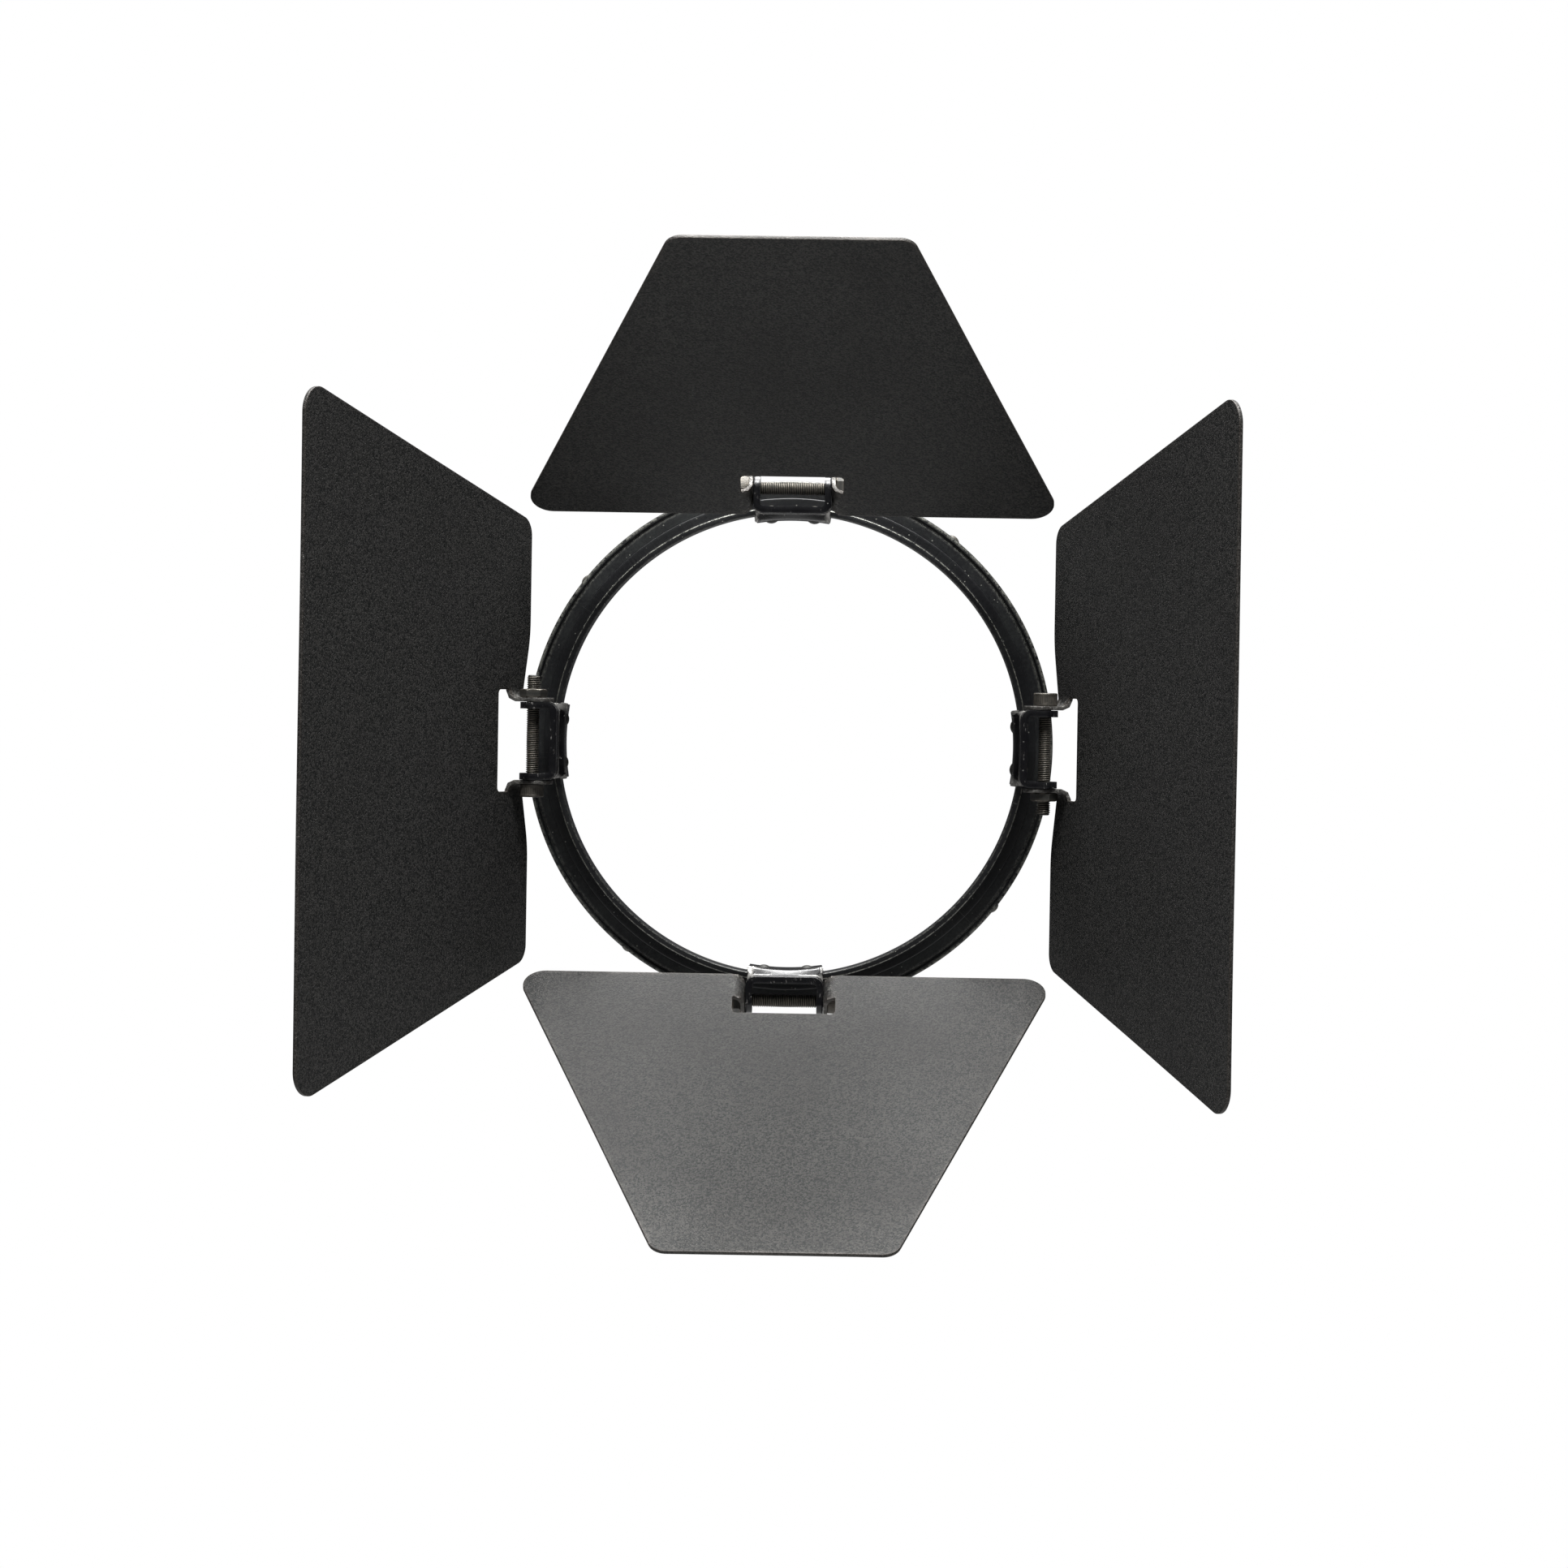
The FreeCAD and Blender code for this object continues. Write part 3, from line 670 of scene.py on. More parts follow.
# %% The flat blank
def is_inside(points, loop):
    """Even-odd rule: a point is inside a loop if a ray along +x crosses it an odd number of times."""
    a, b = loop[None], np.roll(loop, -1, axis=0)[None]
    x, y = points[:, None, 0], points[:, None, 1]
    spans = (a[..., 1] > y) != (b[..., 1] > y)
    rise = np.where(spans, b[..., 1] - a[..., 1], 1.0)
    at = a[..., 0] + (y - a[..., 1]) * (b[..., 0] - a[..., 0]) / rise
    return (spans & (x < at)).sum(1) % 2 == 1


def distance_to(points, loops):
    """Distance from each point to the nearest side of any loop."""
    a = np.concatenate(loops)
    b = np.concatenate([np.roll(loop, -1, axis=0) for loop in loops])
    side = b - a
    along = ((points[:, None] - a[None]) * side[None]).sum(-1) / (side ** 2).sum(-1)[None]
    near = a[None] + np.clip(along, 0, 1)[..., None] * side[None]
    return np.linalg.norm(points[:, None] - near, axis=-1).min(1)


def lattice(low, high, step):
    """Points in even rows and columns between two corners, a step in x and a step in y apart."""
    x = np.arange(low[0], high[0] + step[0] / 2, step[0])
    y = np.arange(low[1], high[1] + step[1] / 2, step[1])
    return np.stack(np.meshgrid(x, y), -1).reshape(-1, 2)


def inset_rows(loop, depth):
    """The loop moved square to itself by the depth, to both sides."""
    along = np.roll(loop, -1, axis=0) - np.roll(loop, 1, axis=0)
    across = np.stack([-along[:, 1], along[:, 0]], -1) / np.linalg.norm(along, axis=1)[:, None]
    return np.concatenate([loop + across * depth, loop - across * depth])


# %% Filling the blank
def blank(loops, spacing, depths, fine=None):
    """Fills the first loop, less the other loops, with triangles: rows of points along every
    loop at the given depths, a lattice in the middle, and finer patches where they are given.
    Returns the points, the triangles and each point's distance to the cut edge."""
    outer, holes = loops[0], loops[1:]
    rows = np.concatenate([inset_rows(loop, depth) for depth in depths for loop in loops])
    row_depth = np.concatenate([np.full(2 * len(loop), depth) for depth in depths for loop in loops])
    rows = rows[distance_to(rows, loops) > 0.97 * row_depth]
    middle = lattice(outer.min(0), outer.max(0), (spacing, spacing))
    if fine is not None:
        middle = np.concatenate([middle] + fine)
    middle = middle[distance_to(middle, loops) > depths[-1] + 0.35 * spacing]
    filling = np.concatenate([rows, middle])
    filling = filling[is_inside(filling, outer)]
    for hole in holes:
        filling = filling[~is_inside(filling, hole)]
    points = np.concatenate(loops + [filling])
    starts = np.cumsum([0] + [len(loop) for loop in loops])
    edges = [(start + i, start + (i + 1) % len(loop)) for start, loop in zip(starts, loops)
             for i in range(len(loop))]
    flat, _, triangles, _, _, _ = delaunay_2d_cdt([Vector(p) for p in points], edges, [], 1, 1e-5)
    flat, triangles = np.array([tuple(p) for p in flat]), np.array(triangles)
    centres = flat[triangles].mean(1)
    for hole in holes:
        keep = ~is_inside(centres, hole)
        triangles, centres = triangles[keep], centres[keep]
    return flat, triangles, distance_to(flat, loops)


def circle(x, y, radius, count):
    """Closed loop at one radius: x plus radius cos, y plus radius sin."""
    angle = full_turn(count)
    return np.stack([x + radius * np.cos(angle), y + radius * np.sin(angle)], -1)


# %% Thickness and ridges
def sharpness(piece):
    """How much the faces that meet at each point disagree: one less the length of the mean
    of their unit normals, against 0.07, which is the value on a rounded right-angled edge."""
    mesh = piece.data
    corner_point = np.zeros(len(mesh.loops), dtype=np.int32)
    mesh.loops.foreach_get("vertex_index", corner_point)
    sides = np.zeros(len(mesh.polygons), dtype=np.int32)
    mesh.polygons.foreach_get("loop_total", sides)
    normals = np.zeros(len(mesh.polygons) * 3)
    mesh.polygons.foreach_get("normal", normals)
    normals = np.repeat(normals.reshape(-1, 3), sides, axis=0)
    total = np.stack([np.bincount(corner_point, normals[:, k], len(mesh.vertices)) for k in range(3)], -1)
    meeting = np.bincount(corner_point, minlength=len(mesh.vertices))
    return np.clip((1 - np.linalg.norm(total, axis=1) / meeting) / 0.07, 0, 1)


def sheet_part(name, folded, triangles, marks, thickness, edge_break):
    """Folded middle surface, given its thickness and broken edges, with its marks kept."""
    piece = new_object(name, folded, triangles)
    for key, values in marks.items():
        mark(piece, key, values)
    modifier(piece, "SOLIDIFY", thickness=thickness * MM, offset=0.0, use_even_offset=True)
    modifier(piece, "BEVEL", width=edge_break * MM, segments=2, limit_method="ANGLE",
             angle_limit=math.radians(50))
    settle(piece)
    ridge = sharpness(piece)
    print("%-22s ridge points %.1f%%" % (name, 100 * (ridge > 0.5).mean()))
    mark(piece, "ridge", ridge)
    return piece


# %% [markdown]
# ## Where the hinges are
#
# There are four hinges, a quarter turn apart. Top and bottom leaves taper
# towards their tips, and the side leaves flare, so that the four close over
# each other. Each leaf rests at its own forward tilt. A point of a leaf is
# given along the hinge, away from it in the leaf's plane, and square to the
# leaf, and one formula hangs it on its hinge.
#
# Each of the two outlines is given by its half widths and by distances from
# the hinge line: of the base edge, the tongue's near and far edges, the
# notch's end and the tip. Side says which way the tongues fold.

# %% Hinges
HINGE_R, HINGE_Y = 58.7, -23.0
LEAF_OFFSET = 5.05
TAPERED = {"base_half": 62.0, "tip_half": 26.2, "base_v": -2.8, "tip_v": 94.0,
           "near_v": -2.8, "notch_v": 11.4, "ear_v": 5.5, "base_r": 5.2, "tip_r": 4.2, "side": 1}
FLARED = {"base_half": 50.5, "tip_half": 78.5, "base_v": -6.3, "tip_v": 91.4,
          "near_v": -3.4, "notch_v": 7.75, "ear_v": 3.1, "base_r": 4.6, "tip_r": 5.6, "side": -1}
HINGES = [("top", 0.0, TAPERED, 54.0), ("right", 90.0, FLARED, 68.5),
          ("bottom", 180.0, TAPERED, 55.0), ("left", 270.0, FLARED, 63.5)]
print("hinges:", ["%s turned %.0f, tilted %.1f" % (name, turn, tilt) for name, turn, _, tilt in HINGES])


def turned_about_beam(points, turn_deg):
    """x' = x cos + z sin, z' = z cos - x sin."""
    c, s = math.cos(math.radians(turn_deg)), math.sin(math.radians(turn_deg))
    x, y, z = points.T
    return np.stack([x * c + z * s, y, z * c - x * s], -1)


def hung(points, tilt_deg, turn_deg):
    """From (along the hinge, away from it, square to the leaf) to the frame: away from the
    hinge leans forward by the tilt, and the whole is then turned about the beam."""
    c, s = math.cos(math.radians(tilt_deg)), math.sin(math.radians(tilt_deg))
    t, v, e = points.T
    at_top = np.stack([t, HINGE_Y - v * s - e * c, HINGE_R + v * c - e * s], -1)
    return turned_about_beam(at_top, turn_deg)


# %% [markdown]
# ## Leaves
#
# A leaf is one sheet with a notch that clears the bracket. At each side of the
# notch a tongue is folded down a quarter turn, and the screw passes through
# its rounded end. A sheet this large is never quite flat after folding and
# baking, so it gets a bow of about a tenth of a millimetre: enough to make the
# broad reflection in the paint uneven, as it is on real sheet metal.

# %% Leaves
SHEET = 0.9
EAR_OUT_T = 9.9
EAR_BEND_R = 2.15
EAR_BEND_T = EAR_OUT_T + 1.7
EAR_TIP_E = 4.9
NOTCH_HALF = 11.7
BEND_END_S = EAR_BEND_T - EAR_BEND_R * math.pi / 2
BEND_END_E = LEAF_OFFSET - EAR_BEND_R
EYE_S = BEND_END_S - BEND_END_E
EAR_TIP_S = EYE_S - EAR_TIP_E
EYE_R = 1.58
BOW = 0.10


def leaf_corners(form):
    """Corners (s, v, radius) of a leaf's flat blank: s along the hinge, v away from it."""
    near, base, ear_v = form["near_v"], form["base_v"], form["ear_v"]
    ear_r = (ear_v - near) / 2 - 0.02
    half = [(NOTCH_HALF, form["notch_v"], 1.0), (NOTCH_HALF, ear_v, 0.25),
            (EAR_TIP_S, ear_v, ear_r), (EAR_TIP_S, near, ear_r)]
    if near > base:
        half += [(NOTCH_HALF, near, 2.0), (24.0, base, 30.0)]
    half += [(form["base_half"], base, form["base_r"]), (form["tip_half"], form["tip_v"], form["tip_r"])]
    return half + [(-s, v, r) for s, v, r in reversed(half)]


def folded_leaf(s, v, form):
    """Beyond the bend the sheet is flat. Within it the angle is arc length over bend radius.
    After it the sheet runs straight down. Only the tongues, short of the notch's end, bend."""
    short = v < form["notch_v"] - 1.0
    reach = np.where(short, np.abs(s), np.maximum(np.abs(s), EAR_BEND_T))
    angle = np.clip((EAR_BEND_T - reach) / EAR_BEND_R, 0, np.pi / 2)
    along = np.maximum(reach, EAR_BEND_T) - EAR_BEND_R * np.sin(angle)
    along = np.where(short, along * np.sign(s), s)
    square = BEND_END_E + EAR_BEND_R * np.cos(angle) - np.maximum(BEND_END_S - reach, 0)
    bow = np.sin(s / 31.0 + 0.6) * np.sin(v / 27.0) + 0.6 * np.sin(s / 19.0 - v / 23.0)
    square = square + BOW * bow * np.clip((v - 14.0) / 30.0, 0, 1)
    return np.stack([along, v, square * form["side"]], -1)


for name, turn, form, tilt in HINGES:
    loops = [rounded(leaf_corners(form), arc_step=0.45, longest=1.6),
             circle(EYE_S, 0, EYE_R, 30), circle(-EYE_S, 0, EYE_R, 30)]
    tongues = [lattice((side * 6.0 - 5.5, form["near_v"]), (side * 6.0 + 5.8, form["ear_v"]), (0.4, 0.8))
               for side in (-1, 1)]
    flat, triangles, from_edge = blank(loops, 2.2, (0.45, 1.2), tongues)
    from_eye = np.hypot(np.abs(flat[:, 0]) - EYE_S, flat[:, 1])
    tongue = (np.abs(flat[:, 0]) < NOTCH_HALF) & (flat[:, 1] < form["notch_v"] - 1.0)
    rub = np.where(tongue, np.clip(1.25 - (from_eye - EYE_R) / 5.0, 0, 1), 0.0)
    folded = folded_leaf(flat[:, 0], flat[:, 1], form)
    piece = sheet_part(name + "_leaf_sheet", hung(folded, tilt, turn), triangles,
                       {"edge_mm": from_edge, "rub": rub}, SHEET, 0.13)
    finish_piece(piece, name + "_leaf", LEAF_PAINT)

# %% [markdown]
# ## Brackets
#
# Each hinge hangs on a U of thicker sheet, whose web crosses the front of the
# carrier ring. Behind it a curved foot lies inside the ring and is riveted to
# it. The fold is the U's own profile in front, and the ring's curve behind,
# with a smooth change between them where the real one is pressed over.

# %% Brackets
BRACKET_T = 1.5
BRACKET_HALF = 8.9
WEB_MID_Z = 53.85
BRACKET_BEND = 1.45
EAR_MID_T = BRACKET_HALF - BRACKET_T / 2
BEND_START = EAR_MID_T - BRACKET_BEND
BEND_END = BEND_START + BRACKET_BEND * math.pi / 2
BEND_END_Z = WEB_MID_Z + BRACKET_BEND
EYE_UP = BEND_END + HINGE_R - BEND_END_Z
FOOT_R = 52.59
FRONT_Y, EYE_BACK_Y, SLOPE_Y, STEP_Y, FOOT_Y = -26.9, -19.1, -16.9, -15.1, -6.4
PRESS_Y, PRESS_LENGTH = -17.0, 1.8
FOOT_HALF = 8.5


def folded_bracket(s, y):
    """In front: flat web, quarter bend, straight ear. Behind: an arc about the beam axis.
    The share of the second grows smoothly from 0 to 1 over the press-over."""
    reach = np.abs(s)
    angle = np.clip((reach - BEND_START) / BRACKET_BEND, 0, np.pi / 2)
    x_front = np.minimum(reach, BEND_START) + BRACKET_BEND * np.sin(angle)
    z_front = WEB_MID_Z + BRACKET_BEND * (1 - np.cos(angle)) + np.maximum(reach - BEND_END, 0)
    x_foot, z_foot = FOOT_R * np.sin(reach / FOOT_R), FOOT_R * np.cos(reach / FOOT_R)
    share = np.clip((y - PRESS_Y) / PRESS_LENGTH, 0, 1)
    share = share ** 2 * (3 - 2 * share)
    x = x_front + (x_foot - x_front) * share
    z = z_front + (z_foot - z_front) * share
    return np.stack([x * np.sign(s), y, z], -1)


bracket_half = [
    (EYE_UP + 2.9, FRONT_Y, 2.85), (EYE_UP + 2.9, EYE_BACK_Y, 2.85),
    (EYE_UP - 0.45, EYE_BACK_Y, 2.0), (BEND_END - 0.1, SLOPE_Y, 0.8),
    (BEND_END - 0.1, STEP_Y, 0.35), (FOOT_HALF, STEP_Y, 0.2), (FOOT_HALF, FOOT_Y, 0.9),
]
bracket_corners = bracket_half + [(-s, y, r) for s, y, r in reversed(bracket_half)]
bracket_loops = [rounded(bracket_corners, arc_step=0.35, longest=0.7),
                 circle(EYE_UP, HINGE_Y, EYE_R, 30), circle(-EYE_UP, HINGE_Y, EYE_R, 30)]
flat, triangles, _ = blank(bracket_loops, 0.62, (0.4,))
for name, turn, _, _ in HINGES:
    folded = turned_about_beam(folded_bracket(flat[:, 0], flat[:, 1]), turn)
    piece = sheet_part(name + "_bracket_channel", folded, triangles, {}, BRACKET_T, 0.22)
    finish_piece(piece, name + "_bracket", ENAMEL)

# %% [markdown]
# ## Grip springs
#
# Four short strips of spring steel lie in pockets of the bore and press on
# the lamp's rim. Folding here is rolling: the blank's length becomes an arc.

# %% Grip springs
SPRING_MID_R = BORE_R + SPRING_T / 2
SPRING_CORNER_R, SPRING_HOLE_R = 1.1, 0.8
half_s, half_y = SPRING_ARC * BORE_R / 2, SPRING_W / 2
strip_corners = [(side_s * half_s, SPRING_Y + side_y * half_y, SPRING_CORNER_R)
                 for side_s, side_y in [(-1, -1), (1, -1), (1, 1), (-1, 1)]]
spring_loops = [rounded(strip_corners, arc_step=0.25, longest=0.6), circle(0, SPRING_Y, SPRING_HOLE_R, 20)]
flat, triangles, _ = blank(spring_loops, 0.6, (0.35,))
for number, angle in enumerate(SPRING_ANGLES, 1):
    around = angle + flat[:, 0] / SPRING_MID_R
    rolled = np.stack([SPRING_MID_R * np.sin(around), flat[:, 1], SPRING_MID_R * np.cos(around)], -1)
    piece = sheet_part("grip_strip_%d" % number, rolled, triangles, {}, SPRING_T, 0.08)
    finish_piece(piece, "grip_spring_%d" % number, SPRING)

# %% [markdown]
# ## Screws and nuts
#
# Each hinge turns on a socket-head screw with a nut. The thread is real: the
# radius at each point depends on its place along the screw plus its share of
# a turn, so the groove climbs one pitch per turn. A bump map would give
# the stripes but not the saw-toothed outline that shows against the light.

# %% Screw and nut shapes
SCREW_R, PITCH = 1.5, 0.5
THREAD_DEPTH = 0.30
SEAT_T = -EAR_OUT_T
TIP_T = SEAT_T + 25.0
TIP_CHAMFER = 0.42
HEAD_R, HEAD_H, HEAD_EDGE_R = 2.75, 3.0, 0.3
SOCKET_AF, SOCKET_DEPTH = 2.5, 1.5
NUT_AF, NUT_H = 5.5, 2.0
KNURLS, KNURL_DEPTH, KNURL_STEP = 36, 0.08, 0.36
print("thread: %.0f turns on %.0f mm" % ((TIP_T - SEAT_T) / PITCH, TIP_T - SEAT_T))


def hexagon(across_flats, angle):
    """Radius of a hexagon with a corner at angle 0: half the width over the cosine of the
    angle from the middle of the nearest flat."""
    return across_flats / 2 / np.cos(angle % (np.pi / 3) - np.pi / 6)


def along_x(stations, radius, angles):
    """Point at the station along X, with radius and angle round it."""
    x = np.broadcast_to(stations[:, None], radius.shape)
    return np.stack([x, radius * np.cos(angles)[None], radius * np.sin(angles)[None]], -1)


def screw_head(angles):
    """Drilled centre, hexagon socket, flat face, rounded rim, knurled side, flat underside: a
    (place, radius) for each row, where the radius may change with the angle."""
    face = SEAT_T - HEAD_H
    floor = face + SOCKET_DEPTH
    hex_r = hexagon(SOCKET_AF, angles)
    one = np.ones_like(angles)
    knurled = HEAD_R - KNURL_DEPTH * (0.5 + 0.5 * np.cos(KNURLS * angles))
    bend = np.radians([0, 22, 45, 68, 90])
    rows = [(floor + 0.45, 0 * one), (floor + 0.02, 1.0 * one), (floor, hex_r * 0.97), (floor - 0.05, hex_r),
            (face + 0.14, hex_r), (face + 0.04, hex_r * 0.4 + 0.95), (face, 1.55 * one), (face, 1.9 * one)]
    rows += [(face + HEAD_EDGE_R - HEAD_EDGE_R * math.cos(a),
              (HEAD_R - HEAD_EDGE_R + HEAD_EDGE_R * math.sin(a)) * one) for a in bend]
    rows += [(face + 0.42, HEAD_R * one)]
    rows += [(face + 0.52 + KNURL_STEP * i, knurled) for i in range(6)]
    rows += [(SEAT_T - 0.5, HEAD_R * one), (SEAT_T - 0.12, HEAD_R * one), (SEAT_T, (HEAD_R - 0.12) * one),
             (SEAT_T, 1.7 * one), (SEAT_T, 0 * one)]
    return along_x(np.array([row[0] for row in rows]), np.stack([row[1] for row in rows]), angles)


def screw_thread(angles):
    """Radius = crest less depth times a trapezoid wave of (place / pitch - turns), limited
    by a cone at the tip."""
    stations = np.arange(SEAT_T - 0.3, TIP_T, PITCH / 10)
    wave = (stations[:, None] / PITCH - angles[None] / (2 * np.pi)) % 1.0
    groove = np.clip((0.5 - np.abs(wave - 0.5)) * 2.6 - 0.25, 0, 1)
    radius = SCREW_R - THREAD_DEPTH * groove
    past_chamfer = np.maximum(stations[:, None] - (TIP_T - TIP_CHAMFER), 0)
    radius = np.minimum(radius, SCREW_R - 0.02 - 0.9 * past_chamfer)
    ends = np.zeros((1, len(angles)))
    radius = np.concatenate([ends, radius, ends + 1.05, ends])
    stations = np.concatenate([[SEAT_T - 0.3], stations, [TIP_T, TIP_T]])
    return along_x(stations, radius, angles)


def nut_shape(angles):
    """Hexagon limited by a cone at each face, with a chamfered bore, closed on itself."""
    depth = np.array([0.0, 0.08, 0.16, 0.24, 0.32, NUT_H / 2])
    cone = NUT_AF / 2 - 0.10 + depth / math.tan(math.radians(30))
    outer = np.minimum(hexagon(NUT_AF, angles)[None], cone[:, None])
    one = np.ones((1, len(angles)))
    half_x = np.concatenate([[0.55, 0.2, 0.0, 0.0], depth])
    half_r = np.concatenate([1.42 * one, 1.45 * one, 1.68 * one, 2.1 * one, outer])
    stations = np.concatenate([half_x, NUT_H - half_x[-2::-1]]) + EAR_OUT_T
    return along_x(stations, np.concatenate([half_r, half_r[-2::-1]]), angles)


def placed(piece, formula):
    """Moves every point by a formula on the array of points in millimetres."""
    points = formula(points_of(piece)) * MM
    piece.data.vertices.foreach_set("co", points.astype(np.float32).ravel())
    piece.data.update()
    return piece


# %% Screws and nuts in place
for name, turn, _, tilt in HINGES:
    head = screw_head(full_turn(144))
    thread = screw_thread(full_turn(28))
    screw = new_object(name + "_screw", *joined([(head, False, True), (thread, False, True)]))
    t, v, e = points_of(screw).T
    r = np.hypot(v, e)
    thread_crest = np.clip((r - 1.27) / 0.2, 0, 1)
    head_rim = 0.55 * np.clip((r - 2.5) / 0.14, 0, 1)
    mark(screw, "wear", np.where(t > SEAT_T + 0.05, thread_crest, head_rim))
    placed(screw, lambda points: hung(points, tilt, turn))
    finish_piece(screw, name + "_hinge_screw", OXIDE, sharp_deg=38.0)
    nut = new_object(name + "_nut", *joined([(nut_shape(full_turn(72)), True, True)]))
    t, v, e = points_of(nut).T
    from_face = np.minimum(t - EAR_OUT_T, EAR_OUT_T + NUT_H - t)
    mark(nut, "wear", bump_of(from_face - 0.12, 0.3) * np.clip((np.hypot(v, e) - 2.3) / 0.4, 0, 1))
    placed(nut, lambda points: hung(points, tilt, turn))
    finish_piece(nut, name + "_hinge_nut", OXIDE, sharp_deg=25.0)

# %% [markdown]
# ## Rivets and the snap ring
#
# A rivet is a profile turned about its own line: a low dome, a shank through
# the sheets, and a second dome or a flush end. The snap ring is a flat section
# with rounded corners, carried nearly all the way round and closed at its ends.

# %% Rivets
def dome(base, height, radius, outward, steps=7):
    """(place, radius) from the pole of a ball cap to its rim; the ball's radius is
    (radius^2 + height^2) / (2 height)."""
    ball = (radius ** 2 + height ** 2) / (2 * height)
    angle = np.linspace(0, math.asin(radius / ball), steps)
    return np.stack([base + outward * (height - ball * (1 - np.cos(angle))), ball * np.sin(angle)], -1)


def rivet(profile, angle, y):
    """The profile turned about a line from the beam axis at the angle from the top."""
    around = full_turn(28)
    along = np.array([math.sin(angle), 0, math.cos(angle)])
    across = np.array([math.cos(angle), 0, -math.sin(angle)])
    place, radius = profile[:, 0][:, None, None], profile[:, 1][:, None, None]
    ring = np.cos(around)[None, :, None] * across + np.sin(around)[None, :, None] * np.array([0, 1.0, 0])
    return place * along + radius * ring + np.array([0, y, 0])


FOOT_FACE_R, FOOT_RIVET_Y = 51.80, -12.6
FOOT_RIVET_ANGLE = math.asin(5.0 / CARRIER_IN_R)
FOOT_HEAD_R, FOOT_HEAD_H, FOOT_SHANK_R = 1.5, 0.6, 0.9
GRIP_HEAD_R, GRIP_HEAD_H, GRIP_SHANK_R = 1.6, 0.8, 0.78
foot_profile = np.concatenate([
    dome(FOOT_FACE_R, FOOT_HEAD_H, FOOT_HEAD_R, -1),
    [[FOOT_FACE_R + 0.07, FOOT_HEAD_R - 0.04], [FOOT_FACE_R + 0.07, FOOT_SHANK_R],
     [CARRIER_OUT_R - 0.02, FOOT_SHANK_R], [CARRIER_OUT_R - 0.02, FOOT_HEAD_R - 0.04]],
    dome(CARRIER_OUT_R, FOOT_HEAD_H, FOOT_HEAD_R, 1)[::-1]])
grip_profile = np.concatenate([
    [[BORE_R, 0.0], [BORE_R, 0.6], [BORE_R + 0.12, GRIP_SHANK_R],
     [BAND_R - 0.02, GRIP_SHANK_R], [BAND_R - 0.02, GRIP_HEAD_R - 0.04]],
    dome(BAND_R, GRIP_HEAD_H, GRIP_HEAD_R, 1)[::-1]])
foot_rivets = [rivet(foot_profile, math.radians(turn) + side * FOOT_RIVET_ANGLE, FOOT_RIVET_Y)
               for _, turn, _, _ in HINGES for side in (-1, 1)]
grip_rivets = [rivet(grip_profile, angle, SPRING_Y) for angle in SPRING_ANGLES]
for title, node, shapes, body_r in [("foot_rivet_set", "bracket_rivets", foot_rivets, CARRIER_OUT_R),
                                    ("grip_rivet_set", "grip_rivets", grip_rivets, BAND_R)]:
    piece = new_object(title, *joined([(shape, False, True) for shape in shapes]))
    mark(piece, "wear", 0.7 * np.clip((radius_of(points_of(piece)) - body_r - 0.2) / 0.4, 0, 1))
    finish_piece(piece, node, OXIDE)

# %% Snap ring
snap_section = rounded([
    (SNAP_IN_R, SNAP_FRONT_Y, 0.12), (SNAP_OUT_R, SNAP_FRONT_Y, 0.12),
    (SNAP_OUT_R, SNAP_FRONT_Y + SNAP_T, 0.12), (SNAP_IN_R, SNAP_FRONT_Y + SNAP_T, 0.12),
], arc_step=0.08, longest=0.5)
SNAP_MIDDLE_DEG, SNAP_HALF_DEG = 222.5, 177.5
snap_angles = np.radians(
    np.linspace(SNAP_MIDDLE_DEG - SNAP_HALF_DEG, SNAP_MIDDLE_DEG + SNAP_HALF_DEG, 360))
snap_grid = turned(snap_section, snap_angles)
snap_ends = [np.broadcast_to(row.mean(0), row.shape)[None] for row in (snap_grid[0], snap_grid[-1])]
snap_grid = np.concatenate([snap_ends[0], snap_grid, snap_ends[1]])
snap = new_object("snap_wire", *joined([(snap_grid, False, True)]))
finish_piece(snap, "snap_ring", SPRING)

# %% [markdown]
# ## Camera, light and floor
#
# The camera stands over a metre in front, a little above and to the right of
# the beam axis, and looks back along it through a long lens. A wide soft
# light hangs above and a little behind, where the bottom leaf reflects it to
# the camera. A second one above and in front lights the ring's face and the
# hinges, and a weak one from behind the camera softens the deepest shadows.
# The side leaves mirror mostly the dim room, and stay dark.
#
# The background is white to the camera alone, as a lit backdrop would be, and
# the floor fades into it, also to the camera alone. The white lights nothing.

# %% Camera
CAMERA_PLACE = (0.020, -1.269, 0.0166)
AIM_LEFT, AIM_DOWN, ROLL = np.radians([0.960, 1.174, 0.95])
camera = bpy.data.objects.new("camera", bpy.data.cameras.new("camera"))
camera.data.lens = 124.8
camera.data.sensor_width = 36.0
camera.data.clip_end = 50.0
swing = Matrix.Rotation(AIM_LEFT, 4, "Z")
nod = Matrix.Rotation(math.pi / 2 - AIM_DOWN, 4, "X")
lean = Matrix.Rotation(ROLL, 4, "Z")
camera.matrix_world = Matrix.Translation(CAMERA_PLACE) @ (swing @ nod @ lean)
bpy.context.scene.collection.objects.link(camera)
bpy.context.scene.camera = camera
bpy.context.scene.view_settings.view_transform = "Standard"
print("camera: %.2f m in front, lens %.1f mm" % (-CAMERA_PLACE[1], camera.data.lens))

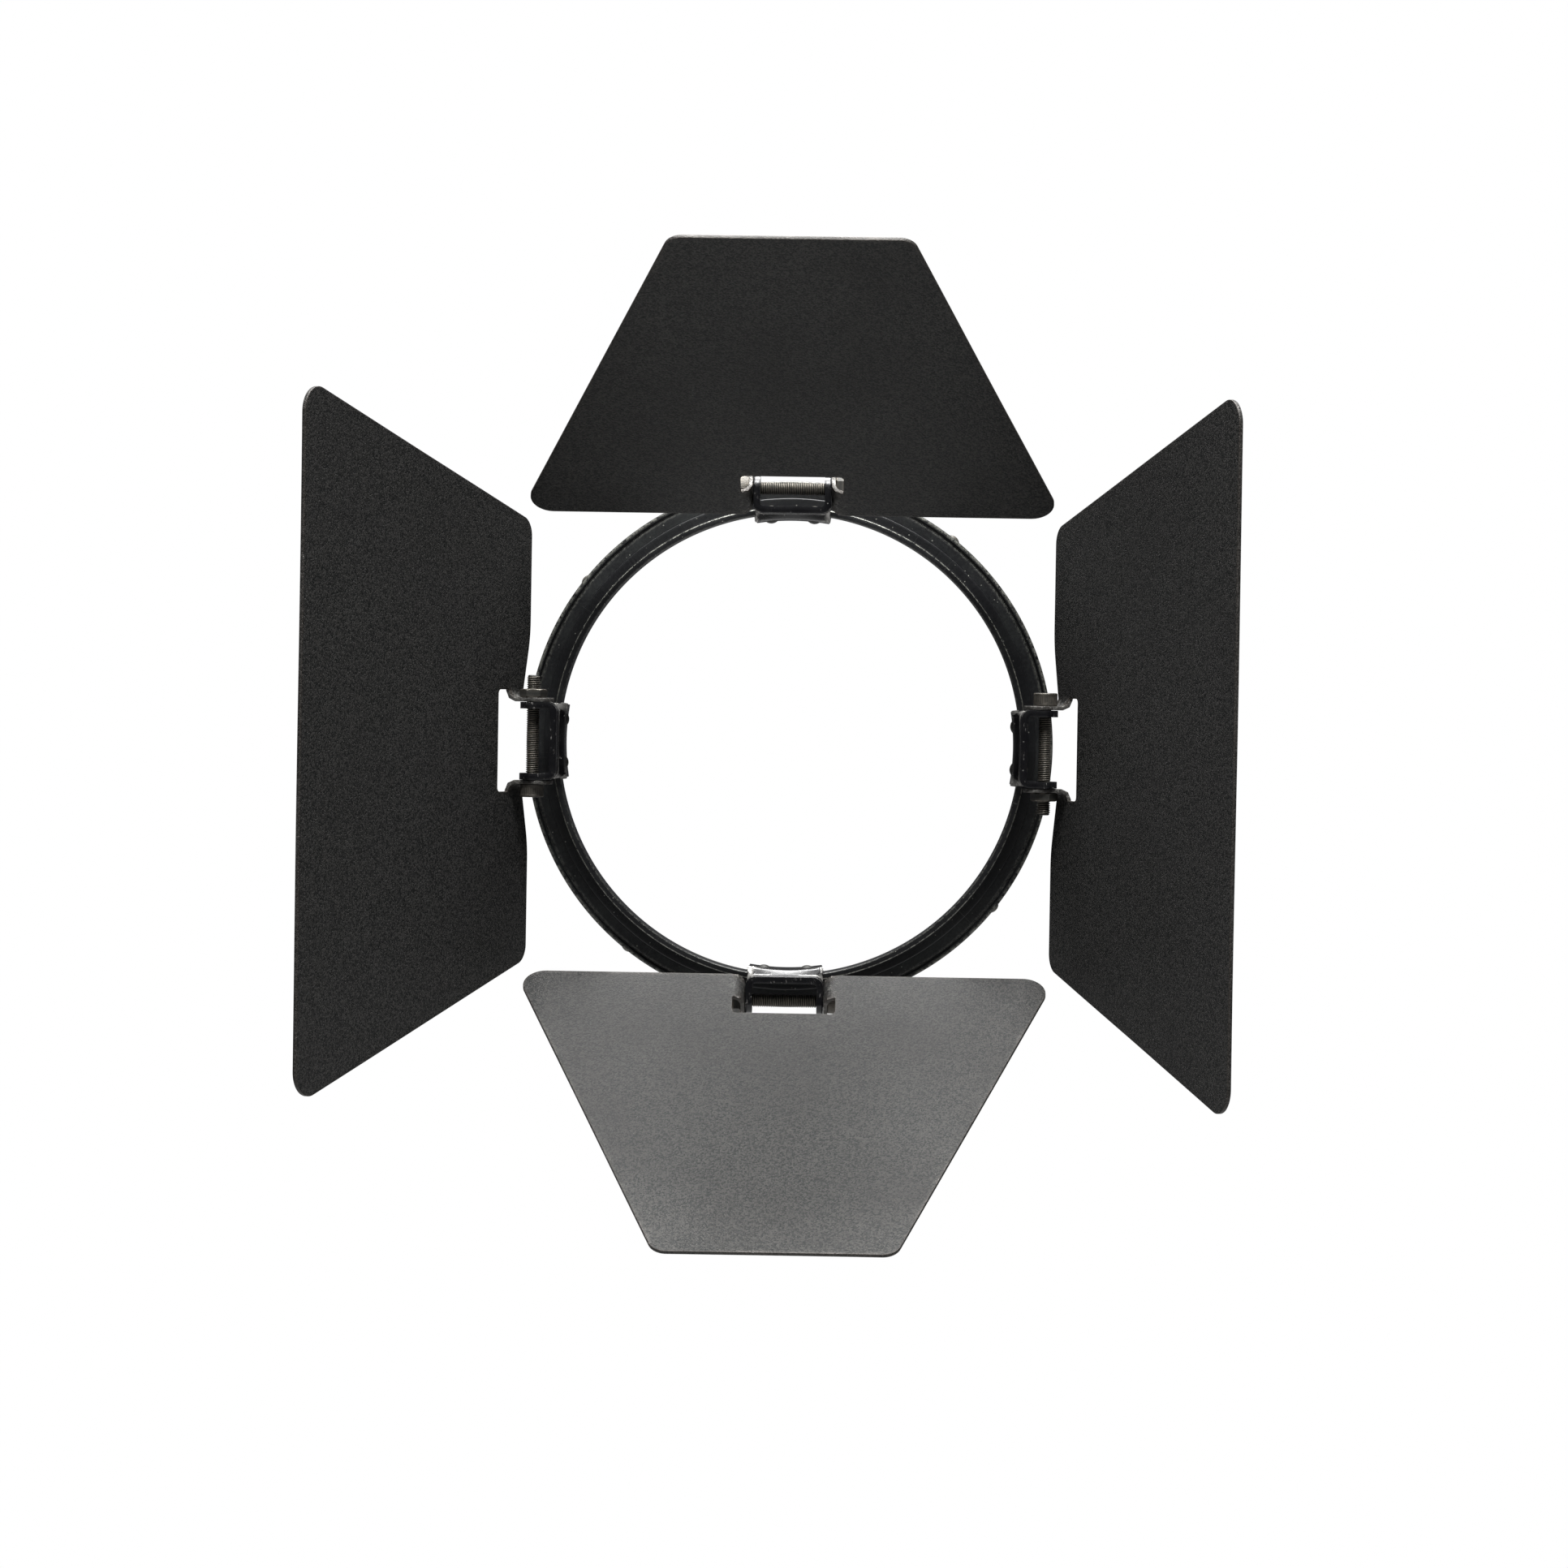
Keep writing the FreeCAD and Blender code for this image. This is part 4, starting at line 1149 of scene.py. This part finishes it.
# %% Floor
FLOOR_Z, FLOOR_R = -0.60, 2.3
FLOOR_RINGS, FLOOR_SPOKES = 12, 96
floor_finish = Finish("pale_floor")
from_middle = floor_finish.node("VectorMath", {"operation": "LENGTH"}, {0: floor_finish.place()}, "Value")
paper = floor_finish.node("BsdfDiffuse", {}, {"Color": (0.40, 0.40, 0.40, 1)})
glow = floor_finish.node("Emission", {}, {"Color": (1, 1, 1, 1), "Strength": 1.0})
to_camera = floor_finish.node("LightPath", {}, {}, "Is Camera Ray")
floor_mix = floor_finish.node("MixShader", {}, {0: from_middle.step(0.9, 2.1) * to_camera, 1: paper, 2: glow})
floor_end = floor_finish.tree.nodes.new("ShaderNodeOutputMaterial")
floor_finish.tree.links.new(floor_mix.socket, floor_end.inputs["Surface"])
reach = np.linspace(0, FLOOR_R, FLOOR_RINGS)[:, None] / MM
around = full_turn(FLOOR_SPOKES)[None]
floor_height = np.full((FLOOR_RINGS, FLOOR_SPOKES), FLOOR_Z / MM)
floor_grid = np.stack([reach * np.cos(around), reach * np.sin(around), floor_height], -1)
floor = new_object("floor", *joined([(floor_grid, False, True)]))
floor.data.materials.append(floor_finish.material)
print("floor: %.1f m across, %.1f m below the axis" % (2 * FLOOR_R, -FLOOR_Z))

# %% Lights and background
def soft_light(name, place, target, width, depth, watts):
    """Rectangular light at a place, facing a target."""
    lamp = bpy.data.lights.new(name, "AREA")
    lamp.shape = "RECTANGLE"
    lamp.size, lamp.size_y = width, depth
    lamp.energy = watts
    holder = bpy.data.objects.new(name, lamp)
    holder.location = place
    holder.rotation_euler = (Vector(target) - Vector(place)).to_track_quat("-Z", "Y").to_euler()
    bpy.context.scene.collection.objects.link(holder)
    print("%-12s %.1f x %.1f m, %.1f W" % (name, width, depth, watts))


soft_light("top_softbox", (0.0, 0.25, 1.30), (0, 0, 0), 0.8, 0.9, 60.0)
soft_light("front_top", (0.0, -0.60, 1.15), (0, -0.07, -0.09), 0.6, 0.6, 40.0)
soft_light("front_fill", (-0.3, -1.7, 0.7), (0, 0, 0), 1.2, 1.2, 0.6)

# %% Room and backdrop
world = bpy.data.worlds.new("room")
world.use_nodes = True
bpy.context.scene.world = world
world_tree = world.node_tree
world_tree.nodes.clear()
seen = world_tree.nodes.new("ShaderNodeLightPath")
room = world_tree.nodes.new("ShaderNodeBackground")
room.inputs["Color"].default_value = (0.075, 0.075, 0.078, 1)
backdrop = world_tree.nodes.new("ShaderNodeBackground")
backdrop.inputs["Color"].default_value = (1, 1, 1, 1)
either = world_tree.nodes.new("ShaderNodeMixShader")
world_end = world_tree.nodes.new("ShaderNodeOutputWorld")
world_tree.links.new(seen.outputs["Is Camera Ray"], either.inputs[0])
world_tree.links.new(room.outputs[0], either.inputs[1])
world_tree.links.new(backdrop.outputs[0], either.inputs[2])
world_tree.links.new(either.outputs[0], world_end.inputs["Surface"])
print("room tone:", [round(tone, 3) for tone in room.inputs["Color"].default_value[:3]])
